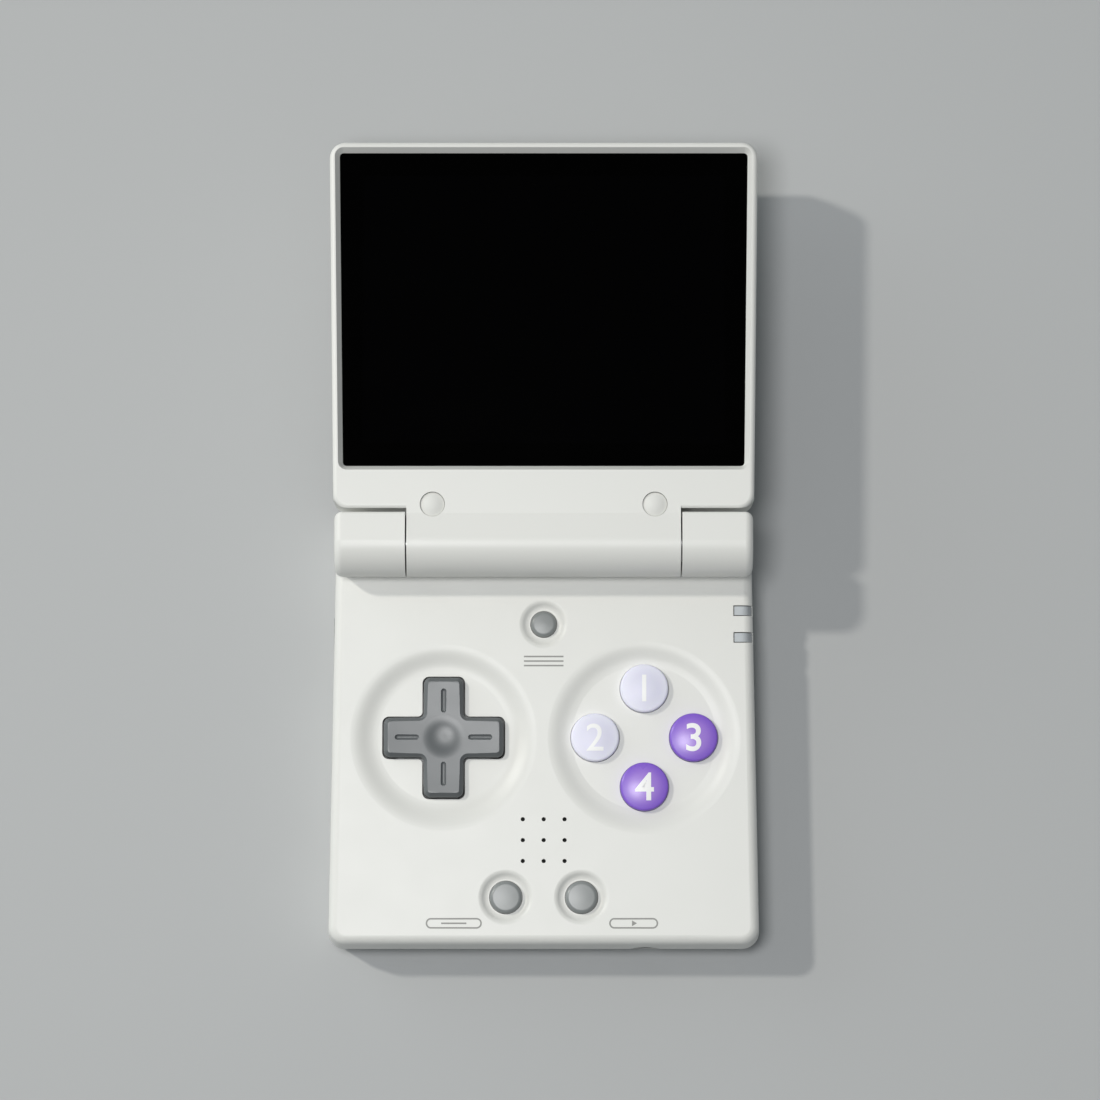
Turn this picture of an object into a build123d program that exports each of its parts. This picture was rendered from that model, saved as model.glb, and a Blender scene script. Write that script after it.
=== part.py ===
from build123d import *
import os
from math import asin, atan, cos, degrees, radians, sin, tan

# Clamshell handheld game console, lying with its lid opened flat. Millimetres, +Z up, +X to the
# player's right, +Y from the player towards the lid. The origin is the middle of the base's underside.

# Casing, as driving dimensions. "Reach" is a distance from the hinge axis along Y.
HINGE_Y = 35.7             # hinge axis, from the middle of the base
HINGE_Z = 20.6             # hinge axis, above the base's underside
REACH = 78.9               # hinge axis to the free end, of base and lid alike
REAR = 7.6                 # how far the base goes on behind the hinge axis
HINGE_HALF_WIDTH = 41.3    # half width of the casing at the hinge axis
END_HALF_WIDTH = 42.5      # half width of the casing at its free ends
CORNER = 3.4               # plan radius of the casing's corners
DRAFT = 2.5                # degrees that the casing's walls lean in from the seam
WALL = 1.8                 # wall of the casing
BASE_SEAM_Z = 8.2          # where the base's two shells meet
BASE_FACE_Z = 14.2         # the base's upper face
BASE_TOP_ROUND = 1.8
BASE_FOOT_ROUND = 2.2
FRONT_LEAN = 0.7           # how much further than its draft the front wall leans in above the seam
SHELL_GAP = 0.3            # between base and lid, open or closed
LID_HALF_THICKNESS = HINGE_Z - BASE_FACE_Z - SHELL_GAP
LID_FACE_Z = HINGE_Z + LID_HALF_THICKNESS    # the lid's screen side, which lies upwards when open
LID_BACK_Z = HINGE_Z - LID_HALF_THICKNESS
LID_SEAM_Z = 20.0
LID_FACE_ROUND = 0.9
LID_BACK_ROUND = 2.2
LID_REACH = REACH + 0.45   # the lid ends in a lip that a finger can lift

# Hinge.
BARREL_RADIUS = 6.5
BARREL_HALF = 26.8         # half length of the lid's barrel, which turns between the base's knuckles
KNUCKLE_INNER = 27.1
KNUCKLE_OUTER = 40.95
KNUCKLE_BACK = 5.6         # flat back of a knuckle, behind the axis
KNUCKLE_DROP = 0.12        # how much lower a knuckle's top is at its back
KNUCKLE_WRAP = 15          # degrees below the axis to which a knuckle's front stays round
KNUCKLE_END_ROUND = 1.5
SWING_RADIUS = 8.6         # everything on the lid beside the barrel stays outside this radius
LID_NEAR = 5.9             # reach of the lid's edge beside the barrel, before its walls lean in
TROUGH_RADIUS = 7.2        # hollow in the base's face, under the barrel
RAMP_END = 5.3             # the barrel's top slopes to the lid's face over this distance
NECK_END = 10.4            # the barrel's neck ends here, inside the lid
TAB_THICKNESS = 2.4        # tab of the lid's back under the neck, where its screws hold
LEFT_BORE = 4.0            # radius in the left knuckle, round the friction unit
SLEEVE_BORE = 3.65         # radius in the right knuckle, in which the sleeve turns
SLEEVE_RADIUS = 3.6
SLEEVE_HOLE = 2.7
SLEEVE_INNER = 20.0        # the sleeve's ends, from the middle of the console
SLEEVE_OUTER = 37.0
PIN_RADIUS = 2.0
PIN_FIT = 0.05             # radial clearance of the pin in the friction unit
PIN_INNER = 19.0
PIN_OUTER = 38.2
BORE_END = 39.6            # how far out the knuckles are bored
ROLL_RADIUS = 2.2          # the screen's flat cable, rolled up inside the sleeve
ROLL_WALL = 0.3

# Screen.
RIM = 1.3                  # flat rim round the screen recess
GLASS_INSET = 2.2          # lid edge to the glass that shows
GLASS_NEAR = 14.8          # reach of the glass edge nearest the hinge
GLASS_DEPTH = 1.6          # glass below the lid's face
GLASS_THICKNESS = 0.8
GLASS_CORNER = 0.8
GASKET_THICKNESS = 0.2
LEDGE_WIDTH = 1.6          # ledge that carries the glass
LEDGE_Z = LID_FACE_Z - GLASS_DEPTH - GLASS_THICKNESS - GASKET_THICKNESS
LEDGE_THICKNESS = 1.1
PANEL_WIDTH = 74.0
PANEL_NEAR = 16.9
PANEL_FAR = 74.5
PANEL_THICKNESS = 1.4
BACKLIGHT_THICKNESS = 1.6
TRAY_THICKNESS = 0.3
COVER_X = 21.75            # the two round screw covers beside the hinge
COVER_REACH = 7.1
COVER_RADIUS = 2.45
COVER_RECESS = 2.4         # depth of the hole that a cover closes, down to the screw's head
COVER_LENGTH = 1.2
COVER_CROWN = 0.55
COVER_PROUD = 0.12

# Controls: x and reach of each centre.
DPAD_X, DPAD_REACH = -19.7, 37.6
DPAD_SPAN = 23.6
DPAD_ARM = 7.8
DPAD_TOP_Z = 15.2
DPAD_LOW_Z = 10.2
DPAD_PIVOT_Z = 9.4
DPAD_GAP = 0.32
DPAD_CORNER, DPAD_INNER_CORNER = 1.35, 0.9
DPAD_BEVEL = 0.85
DPAD_BEVEL_ROUND = 0.5     # where the bevel meets the key's sides
DPAD_TOP_ROUND = 0.28
DPAD_BOWL_RADIUS = 260.0   # sphere that hollows the whole top, so that the arms rise towards their ends
DPAD_DISH_FLOOR, DPAD_DISH_RIM = 0.6, 4.6    # radii between which the dish in the key's middle rises
DPAD_DISH_DEPTH = 0.34
DPAD_SLOT_PLACE = 7.2      # from the key's middle to the middle of each arm's groove
DPAD_SLOT_LENGTH = 4.8
DPAD_SLOT_RADIUS = 0.55
DPAD_SLOT_LIFT = 0.15      # how far the groove's round lies above the key's top
DPAD_FLANGE_RADIUS = 10.2
DPAD_FLANGE_THICKNESS = 0.6
DPAD_PIVOT_RADIUS = 1.4
DPAD_RING_OUTER, DPAD_RING_INNER = 2.2, 1.5    # sprung ring that the key rocks on
DPAD_RING_THICKNESS = 0.3
DPAD_WELL_FLOOR, DPAD_WELL_RIM = 13.0, 18.4    # radii between which the well's side rises
DPAD_WELL_DEPTH = 1.15
FACE_X, FACE_REACH = 19.8, 37.6
FACE_OFFSET = 9.7
FACE_RADIUS = 4.76
FACE_PROUD = 1.0
FACE_CROWN = 0.55
FACE_WELL_FLOOR, FACE_WELL_RIM = 14.2, 19.0
FACE_WELL_DEPTH = 0.95
WELL_BACK_Z = 11.6         # underside of the casing behind the wells, where the keys' flanges stop
BOWL_BACK_Z = 11.8         # the same, behind the small keys' bowls
MENU_REACH = 15.15
MENU_RADIUS = 2.57
MENU_BOWL = 4.85
SMALL_X, SMALL_REACH = 7.42, 69.0
SMALL_RADIUS = 3.2
SMALL_BOWL = 5.43
BOWL_DEPTH = 0.85
BOWL_FLOOR = 0.35          # flat ring in a bowl, round its key
SMALL_PROUD = 0.45
MENU_PROUD = 0.18          # lower, because the flat strip of the shut lid lies over it
SMALL_CROWN = 0.12
SMALL_ROUND = 0.75         # rolled rim of a small key
KEY_GAP = 0.1              # round every round key
KEY_ROUND = 0.5            # rolled rim of a face key
FLANGE_WIDTH = 0.75        # flange that keeps a key in the casing
FLANGE_THICKNESS = 0.7
FLANGE_GAP = 0.1
KEY_BOTTOM_Z = 10.1        # underside of every key on the base's face

# Status windows, loudspeaker, legends.
WINDOW_REACHES = (12.5, 17.8)
WINDOW_LENGTH, WINDOW_WIDTH = 3.8, 2.1
WINDOW_GAP = 0.18          # groove beside a window
WINDOW_SINK = 0.2          # how far a window lies below the casing
WINDOW_NOTCH = 2.6         # depth of the notch that a window fills
WINDOW_FOOT = 1.6          # side of the square foot that brings the lamp's light up
WINDOW_OUTER = 41.25       # half width of the casing's face edge at the windows
LAMP_X = 38.5              # the lamps under the windows
LAMP_SIZE = (1.6, 0.9, 0.7)
SPEAKER_REACH = 57.8
SPEAKER_PITCH = 4.1
SPEAKER_HOLE = 0.42
SPEAKER_SIZE = (16.0, 9.0, 2.3)
SPEAKER_MESH = (15.0, 9.0, 0.2)
SPEAKER_CONE = 3.4

# Inside the base.
BOARD_TOP_Z = 8.4
BOARD_THICKNESS = 1.0
BOARD_INSET = 3.0
MEMBRANE_THICKNESS = 0.5
DOME_HEIGHT = 0.15
SCREW_PLACES = ((38.2, 6.0), (38.2, 33.5), (38.6, 73.4))    # x and reach, on both sides
BOSS_RADIUS = 2.2
SCREW_RADIUS = 0.8
SCREW_CLEARANCE = 0.95
HEAD_RADIUS = 1.7
HEAD_HEIGHT = 1.1
HEAD_SEAT_Z = 2.6
COUNTERBORE_RADIUS = 2.0
SCREW_TIP_Z = 11.0
BATTERY_X = -4.5
BATTERY_REACH = 42.0
BATTERY_SIZE = (56.0, 46.0, 5.2)
BATTERY_FENCE = (0.8, 2.5)     # thickness and height of the fence round the battery
PROCESSOR_PLACE, PROCESSOR_SIZE = (-4.0, 10.0), (14.0, 14.0, 1.4)
MEMORY_PLACE, MEMORY_SIZE = (11.5, 10.0), (11.0, 10.0, 1.0)
POWER_CHIP_PLACE, POWER_CHIP_SIZE = (-29.0, 71.0), (6.0, 6.0, 0.9)
RADIO_PLACE, RADIO_SIZE = (28.5, 9.0), (10.0, 12.0, 1.8)
MOTOR_PLACE, MOTOR_RADIUS, MOTOR_LOW_Z = (-20.0, 10.5), 4.0, 3.8
SENSOR_PLACE = (-30.0, 70.0)   # the lid's magnet comes down over it
SENSOR_SIZE = (3.0, 1.6, 1.0)
MAGNET_RADIUS, MAGNET_THICKNESS = 2.5, 2.0

# Sockets and side controls.
JACK_X, JACK_Z, JACK_RADIUS = 20.0, 7.0, 1.8
JACK_BODY = (6.2, 11.5, 5.0)
JACK_NOSE = 2.8            # radius of the jack's nose in the front wall
USB_OPENING = (8.94, 3.26)
USB_BODY_DEPTH = 7.4
USB_Z = 10.4
HDMI_REACH, HDMI_Z = 55.2, 10.1
HDMI_OPENING = (10.9, 2.6)
HDMI_BODY_DEPTH = 7.5
PORT_WALL = 0.35
PORT_ROOM = 0.1            # between a port and the casing round it
PORT_TONGUE = 0.24         # thickness of a port's tongue as a share of its opening
CARD_REACHES = (47.0, 62.0)
CARD_Z = 6.4
CARD_SLOT = (12.0, 1.3)
CARD_BODY = (14.5, 13.4, 1.8)
CARD_SIZE = (14.0, 11.0, 0.7)
ROCKER_REACH, ROCKER_LENGTH, ROCKER_HEIGHT = 20.0, 13.4, 3.0
ROCKER_DEPTH = 3.4         # from the rocker's face inwards
POWER_REACH, POWER_RADIUS = 26.6, 2.0
RESET_REACH, RESET_RADIUS = 21.6, 0.9
SCOOP_DEPTH = 0.6          # hollow in the casing round a side key, which is itself flush
SCOOP_MARGIN = 1.0
SIDE_STEM = 2.8            # length of a round side key inside the casing
SIDE_SWITCH = (2.4, 3.6, 1.8)
RESET_SUNK = 0.2           # the reset key's end lies below the casing, for a pen's tip
SHOULDER_OUTER_X = (26.6, 40.3)
SHOULDER_INNER_X = (13.6, 26.0)
SHOULDER_Z = (3.4, 12.0)
SHOULDER_PROUD = 1.6
SHOULDER_GAP = 0.25
SHOULDER_TRAVEL_ROOM = 1.2
SHOULDER_CORNER = 2.6      # plan radius of an outer shoulder key's corner
SHOULDER_ROUND = 0.6


def at(x, reach, z, towards=-1):
    """Place at a reach from the hinge axis, on the base's side or, with towards=1, on the lid's."""
    return Pos(x, HINGE_Y + towards * reach, z)


def half_width(reach):
    return HINGE_HALF_WIDTH + (END_HALF_WIDTH - HINGE_HALF_WIDTH) * reach / REACH


def outline(near, far, towards, inset=0.0, corner=CORNER, z=0.0):
    """The casing's tapered plan between two reaches, drawn in by an inset on every side."""
    ends = [(HINGE_Y + towards * reach, half_width(reach) - inset) for reach in (near + inset, far - inset)]
    (low_y, low_half), (high_y, high_half) = sorted(ends)
    points = [(-low_half, low_y), (low_half, low_y), (high_half, high_y), (-high_half, high_y)]
    plan = make_face(Polyline(*points, close=True))
    return Pos(0, 0, z) * fillet(plan.vertices(), corner)


def prism(face, height, taper=0.0):
    """Extrude a plan up, or down where the height is negative, leaning in by the taper."""
    direction = (0, 0, 1) if height > 0 else (0, 0, -1)
    return extrude(face, amount=abs(height), dir=direction, taper=taper)


def block(x, reach, z, size, towards=-1):
    """A box on its middle in plan, with its underside at z."""
    return at(x, reach, z, towards) * Box(*size, align=(Align.CENTER, Align.CENTER, Align.MIN))


def span(x_range, y_range, z_range):
    """A box between pairs of coordinates."""
    sizes = [high - low for low, high in (x_range, y_range, z_range)]
    middle = [(low + high) / 2 for low, high in (x_range, y_range, z_range)]
    return Pos(*middle) * Box(*sizes)


def disc(x, reach, z_range, radius, towards=-1):
    low, high = z_range
    return at(x, reach, (low + high) / 2, towards) * Cylinder(radius, high - low)


def rod(x_range, radius):
    """A cylinder on the hinge axis."""
    low, high = x_range
    return Pos((low + high) / 2, HINGE_Y, HINGE_Z) * Rot(0, 90, 0) * Cylinder(radius, high - low)


def soft_step(inner, outer, depth):
    """A dished recess below z = 0: flat inside one radius, rising in an S-curve to another."""
    low = (inner, -depth)
    high = (outer, 0)
    middle = ((inner + outer) / 2, -depth / 2)
    rise = TangentArc([low, middle], tangent=(1, 0))
    crest = TangentArc([middle, high], tangent=rise % 1)
    above = 1.0
    close = Polyline(high, (outer, above), (0, above), (0, -depth), low)
    return revolve(Plane.XZ * make_face([rise, crest, *close.edges()]), Axis.Z, 360)


def both_sides(x):
    return (-x, x)


def screw_set(places, head_z, tip_z, head_radius, shaft_radius, towards, up):
    """Cross-recessed screws. up is +1 where the shaft points up from its head, -1 where it points down."""
    screws = []
    for x, reach in places:
        head = disc(x, reach, sorted((head_z, head_z - up * HEAD_HEIGHT)), head_radius, towards)
        shaft = disc(x, reach, sorted((head_z, tip_z)), shaft_radius, towards)
        slot_z = sorted((head_z - up * HEAD_HEIGHT, head_z - up * HEAD_HEIGHT / 2))
        slot_length = 1.3 * head_radius
        slot_width = 0.25 * head_radius
        middle_z = sum(slot_z) / 2
        slot_height = slot_z[1] - slot_z[0]
        cross = at(x, reach, middle_z, towards) * (
            Box(slot_length, slot_width, slot_height) + Box(slot_width, slot_length, slot_height)
        )
        screws.append(head + shaft - cross)
    return screws


# ---------------------------------------------------------------- cut-outs that both base shells share

def shoulder_plan(x_range, grow, proud):
    """Plan of a shoulder key: straight, with its outer corner following the casing's."""
    low, high = x_range
    rear_y = HINGE_Y + REAR
    back = rear_y + proud
    front = rear_y - WALL - 1.2 - (SHOULDER_TRAVEL_ROOM if grow else 0)
    points = [(low - grow, front), (high + grow, front), (high + grow, back), (low - grow, back)]
    plan = make_face(Polyline(*points, close=True))
    rear_corners = plan.vertices().group_by(Axis.Y)[-1].sort_by(Axis.X)
    at_casing_corner = x_range == SHOULDER_OUTER_X
    plan = fillet(rear_corners[-1], SHOULDER_CORNER if at_casing_corner else SHOULDER_ROUND)
    low_corner = plan.vertices().group_by(Axis.Y)[-1].sort_by(Axis.X)[0]
    return fillet(low_corner, SHOULDER_ROUND)


def shoulder_cutter(x_range, side):
    low, high = SHOULDER_Z
    plan = shoulder_plan(x_range, SHOULDER_GAP, SHOULDER_PROUD + 2)
    cutter = extrude(Pos(0, 0, low - SHOULDER_GAP) * plan, amount=high - low + 2 * SHOULDER_GAP)
    return cutter if side > 0 else mirror(cutter, Plane.YZ)


def base_cutters():
    """Every opening through the base's side walls."""
    wall_out = 3.0
    cutters = [
        shoulder_cutter(x_range, side)
        for x_range in (SHOULDER_OUTER_X, SHOULDER_INNER_X)
        for side in (-1, 1)
    ]
    usb_width, usb_height = USB_OPENING
    usb_y = (HINGE_Y + REAR - 3.5, HINGE_Y + REAR + 1)
    grow = PORT_WALL + PORT_ROOM
    usb_z = (USB_Z - usb_height / 2 - grow, USB_Z + usb_height / 2 + grow)
    cutters.append(span(both_sides(usb_width / 2 + grow), usb_y, usb_z))
    hdmi_width, hdmi_height = HDMI_OPENING
    left_x = -half_width(HDMI_REACH)
    hdmi_box = (2 * wall_out, hdmi_width + 2 * grow, hdmi_height + 2 * grow)
    cutters.append(at(left_x, HDMI_REACH, HDMI_Z) * Box(*hdmi_box))
    rocker_place = at(-half_width(ROCKER_REACH), ROCKER_REACH, BASE_SEAM_Z)
    rocker_box = (2 * wall_out, ROCKER_LENGTH + 0.7, ROCKER_HEIGHT + 0.5)
    rocker_scoop = (2 * SCOOP_DEPTH, ROCKER_LENGTH + 2 * SCOOP_MARGIN, ROCKER_HEIGHT + 2 * SCOOP_MARGIN)
    cutters.append(rocker_place * (Box(*rocker_box) + Box(*rocker_scoop)))
    for reach in CARD_REACHES:
        slot_length, slot_height = CARD_SLOT
        cutters.append(at(half_width(reach), reach, CARD_Z) * Box(2 * wall_out, slot_length, slot_height))
    for reach, radius in ((POWER_REACH, POWER_RADIUS), (RESET_REACH, RESET_RADIUS)):
        hole = Rot(0, 90, 0) * Cylinder(radius + KEY_GAP, 2 * wall_out)
        cutters.append(at(half_width(reach), reach, BASE_SEAM_Z) * hole)
    power_scoop = Rot(0, 90, 0) * Cylinder(POWER_RADIUS + SCOOP_MARGIN, 2 * SCOOP_DEPTH)
    cutters.append(at(half_width(POWER_REACH), POWER_REACH, BASE_SEAM_Z) * power_scoop)
    jack_hole = Rot(90, 0, 0) * Cylinder(JACK_NOSE + 0.2, 2 * wall_out)
    cutters.append(at(JACK_X, REACH, JACK_Z) * jack_hole)
    return cutters


def base_cavity(low, high):
    return prism(outline(-REAR, REACH, -1, WALL + 0.3, CORNER - 1.2, low), high - low)


def base_upper_body():
    draft_inset = (BASE_FACE_Z - BASE_SEAM_Z) * tan(radians(DRAFT))
    rim = outline(-REAR, REACH, -1, z=BASE_SEAM_Z)
    face = outline(-REAR, REACH - FRONT_LEAN, -1, draft_inset, z=BASE_FACE_Z)
    body = loft([rim, face], ruled=True)
    return fillet(body.faces().sort_by(Axis.Z)[-1].edges(), BASE_TOP_ROUND)


def knuckle(side):
    """A round-fronted, flat-backed hinge end that stands on the base's face."""
    foot_z = BASE_FACE_Z - 2.4
    wrap = radians(KNUCKLE_WRAP)
    wrap_z = HINGE_Z - BARREL_RADIUS * sin(wrap)
    front_y = HINGE_Y - BARREL_RADIUS * cos(wrap) + (wrap_z - foot_z) * tan(wrap)
    back_y = HINGE_Y + KNUCKLE_BACK
    crown_z = HINGE_Z + BARREL_RADIUS
    crown = CenterArc((HINGE_Y, HINGE_Z), BARREL_RADIUS, 90, 90 + KNUCKLE_WRAP)
    rest = Polyline(
        (HINGE_Y, crown_z), (back_y, crown_z - KNUCKLE_DROP), (back_y, foot_z), (front_y, foot_z), crown @ 1
    )
    profile = make_face([crown, *rest.edges()])
    back_top = profile.vertices().sort_by(lambda v: v.Y + v.X)[-1]
    profile = fillet(back_top, 0.5)
    body = extrude(Plane.YZ.offset(KNUCKLE_INNER) * profile, amount=KNUCKLE_OUTER - KNUCKLE_INNER)
    end_edges = body.faces().sort_by(Axis.X)[-1].edges()
    foot_edges = end_edges.sort_by(Axis.Z)[:1]
    body = fillet([edge for edge in end_edges if edge not in foot_edges], KNUCKLE_END_ROUND)
    return body if side > 0 else mirror(body, Plane.YZ)


def cross_plan(arm, length, corner, inner):
    """A plus-shaped plan with rounded outer and inner corners."""
    plan = Rectangle(arm, length) + Rectangle(length, arm)
    outer_corners = [v for v in plan.vertices() if abs(abs(v.X) - abs(v.Y)) > 0.1]
    plan = fillet(outer_corners, corner)
    inner_corners = [v for v in plan.vertices() if abs(abs(v.X) - abs(v.Y)) < 0.01]
    return fillet(inner_corners, inner)


def face_places():
    """The four face keys' names with x and reach, the way the hands find them."""
    return {
        "face_button_top": (FACE_X, FACE_REACH - FACE_OFFSET),
        "face_button_left": (FACE_X - FACE_OFFSET, FACE_REACH),
        "face_button_right": (FACE_X + FACE_OFFSET, FACE_REACH),
        "face_button_bottom": (FACE_X, FACE_REACH + FACE_OFFSET),
    }


def window_block(reach, grow=0.0):
    length = WINDOW_LENGTH + 4
    low_x = WINDOW_OUTER - WINDOW_LENGTH
    y = HINGE_Y - reach
    half = WINDOW_WIDTH / 2 + grow
    z_range = (BASE_FACE_Z - WINDOW_NOTCH, BASE_FACE_Z + 1)
    return span((low_x - grow, low_x + length), (y - half, y + half), z_range)


def base_top_shell():
    shell = base_upper_body()
    for side in (-1, 1):
        shell += knuckle(side)
    ceiling = BASE_FACE_Z - WALL
    shell -= base_cavity(BASE_SEAM_Z - 1, ceiling)
    backing = (WELL_BACK_Z, ceiling + 0.2)
    shell += disc(DPAD_X, DPAD_REACH, backing, DPAD_WELL_RIM - 0.4)
    shell += disc(FACE_X, FACE_REACH, backing, FACE_WELL_RIM - 0.4)
    for x, reach in small_key_places().values():
        shell += disc(x, reach, (BOWL_BACK_Z, ceiling + 0.2), SMALL_BOWL)
    for x, reach in SCREW_PLACES:
        for side_x in both_sides(x):
            shell += disc(side_x, reach, (BASE_SEAM_Z, ceiling + 0.2), BOSS_RADIUS) & base_upper_body()
            shell -= disc(side_x, reach, (BASE_SEAM_Z - 1, SCREW_TIP_Z + 0.2), SCREW_RADIUS)
    shell -= at(DPAD_X, DPAD_REACH, BASE_FACE_Z) * soft_step(DPAD_WELL_FLOOR, DPAD_WELL_RIM, DPAD_WELL_DEPTH)
    shell -= at(FACE_X, FACE_REACH, BASE_FACE_Z) * soft_step(FACE_WELL_FLOOR, FACE_WELL_RIM, FACE_WELL_DEPTH)
    grow = 2 * DPAD_GAP
    hole = cross_plan(DPAD_ARM + grow, DPAD_SPAN + grow, DPAD_CORNER, DPAD_INNER_CORNER)
    shell -= extrude(at(DPAD_X, DPAD_REACH, ceiling - 2) * hole, amount=4)
    through = (ceiling - 2, BASE_FACE_Z + 1)
    for x, reach in face_places().values():
        shell -= disc(x, reach, through, FACE_RADIUS + KEY_GAP)
    for name, (x, reach) in small_key_places().items():
        radius, bowl = small_key_sizes(name)
        shell -= at(x, reach, BASE_FACE_Z) * soft_step(radius + BOWL_FLOOR, bowl, BOWL_DEPTH)
        shell -= disc(x, reach, through, radius + KEY_GAP)
    for column in (-1, 0, 1):
        for row in (-1, 0, 1):
            place = (column * SPEAKER_PITCH, SPEAKER_REACH + row * SPEAKER_PITCH)
            shell -= disc(*place, through, SPEAKER_HOLE)
    for reach in WINDOW_REACHES:
        shell -= window_block(reach)
    shell -= rod(both_sides(KNUCKLE_INNER), TROUGH_RADIUS)
    shell -= rod((-BORE_END, -KNUCKLE_INNER + 1), LEFT_BORE)
    shell -= rod((KNUCKLE_INNER - 1, BORE_END), SLEEVE_BORE)
    cable_way = span((37.4, 39.0), (HINGE_Y - 2.2, HINGE_Y + 2.2), (ceiling - 1, HINGE_Z))
    shell -= cable_way
    for cutter in base_cutters():
        shell -= cutter
    return shell


def base_bottom_shell():
    rim = outline(-REAR, REACH, -1, z=BASE_SEAM_Z)
    body = prism(rim, -BASE_SEAM_Z, DRAFT)
    body = fillet(body.faces().sort_by(Axis.Z)[0].edges(), BASE_FOOT_ROUND)
    shell = body - base_cavity(WALL, BASE_SEAM_Z + 1)
    for x, reach in SCREW_PLACES:
        for side_x in both_sides(x):
            boss = disc(side_x, reach, (WALL - 0.2, BASE_SEAM_Z), BOSS_RADIUS + 0.6)
            shell += boss & body
            shell -= disc(side_x, reach, (-1, HEAD_SEAT_Z), COUNTERBORE_RADIUS)
            shell -= disc(side_x, reach, (-1, BASE_SEAM_Z + 1), SCREW_CLEARANCE)
    width, length, _ = BATTERY_SIZE
    thickness, height = BATTERY_FENCE
    for side in (-1, 1):
        x = BATTERY_X + side * (width / 2 + 0.7)
        reach = BATTERY_REACH + side * (length / 2 + 0.7)
        shell += block(x, BATTERY_REACH, WALL - 0.1, (thickness, length, height))
        shell += block(BATTERY_X, reach, WALL - 0.1, (width, thickness, height))
    for cutter in base_cutters():
        shell -= cutter
    return shell


def base_screws():
    places = [(x, reach) for outer, reach in SCREW_PLACES for x in both_sides(outer)]
    return screw_set(places, HEAD_SEAT_Z, SCREW_TIP_Z, HEAD_RADIUS, SCREW_RADIUS, -1, 1)


# ---------------------------------------------------------------- controls on the base's face

def small_key_places():
    return {
        "menu_button": (0.0, MENU_REACH),
        "select_button": (-SMALL_X, SMALL_REACH),
        "start_button": (SMALL_X, SMALL_REACH),
    }


def small_key_sizes(name):
    if name == "menu_button":
        return MENU_RADIUS, MENU_BOWL
    return SMALL_RADIUS, SMALL_BOWL


def round_key(x, reach, radius, top_z, crown, rim_round, ceiling):
    """A round key with a domed top and a flange that keeps it in the casing."""
    flange_top = ceiling - FLANGE_GAP
    flange_bottom = flange_top - FLANGE_THICKNESS
    flange_radius = radius + FLANGE_WIDTH
    edge_z = top_z - crown
    dome_radius = (radius ** 2 + crown ** 2) / (2 * crown)
    half_angle = asin(radius / dome_radius) / 2
    on_dome = (dome_radius * sin(half_angle), top_z - dome_radius * (1 - cos(half_angle)))
    dome = ThreePointArc((radius, edge_z), on_dome, (0, top_z))
    sides = Polyline(
        (0, top_z),
        (0, KEY_BOTTOM_Z),
        (radius, KEY_BOTTOM_Z),
        (radius, flange_bottom),
        (flange_radius, flange_bottom),
        (flange_radius, flange_top),
        (radius, flange_top),
        (radius, edge_z),
    )
    profile = make_face([dome, *sides.edges()])
    rim = profile.vertices().sort_by(lambda v: abs(v.X - radius) + abs(v.Y - edge_z))[0]
    return at(x, reach, 0) * revolve(Plane.XZ * fillet(rim, rim_round), Axis.Z, 360)


def face_buttons():
    top_z = BASE_FACE_Z + FACE_PROUD
    return {
        name: round_key(x, reach, FACE_RADIUS, top_z, FACE_CROWN, KEY_ROUND, WELL_BACK_Z)
        for name, (x, reach) in face_places().items()
    }


def small_buttons():
    keys = {}
    for name, (x, reach) in small_key_places().items():
        radius, _ = small_key_sizes(name)
        top_z = BASE_FACE_Z + (MENU_PROUD if name == "menu_button" else SMALL_PROUD)
        keys[name] = round_key(x, reach, radius, top_z, SMALL_CROWN, SMALL_ROUND, BOWL_BACK_Z)
    return keys


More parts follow.
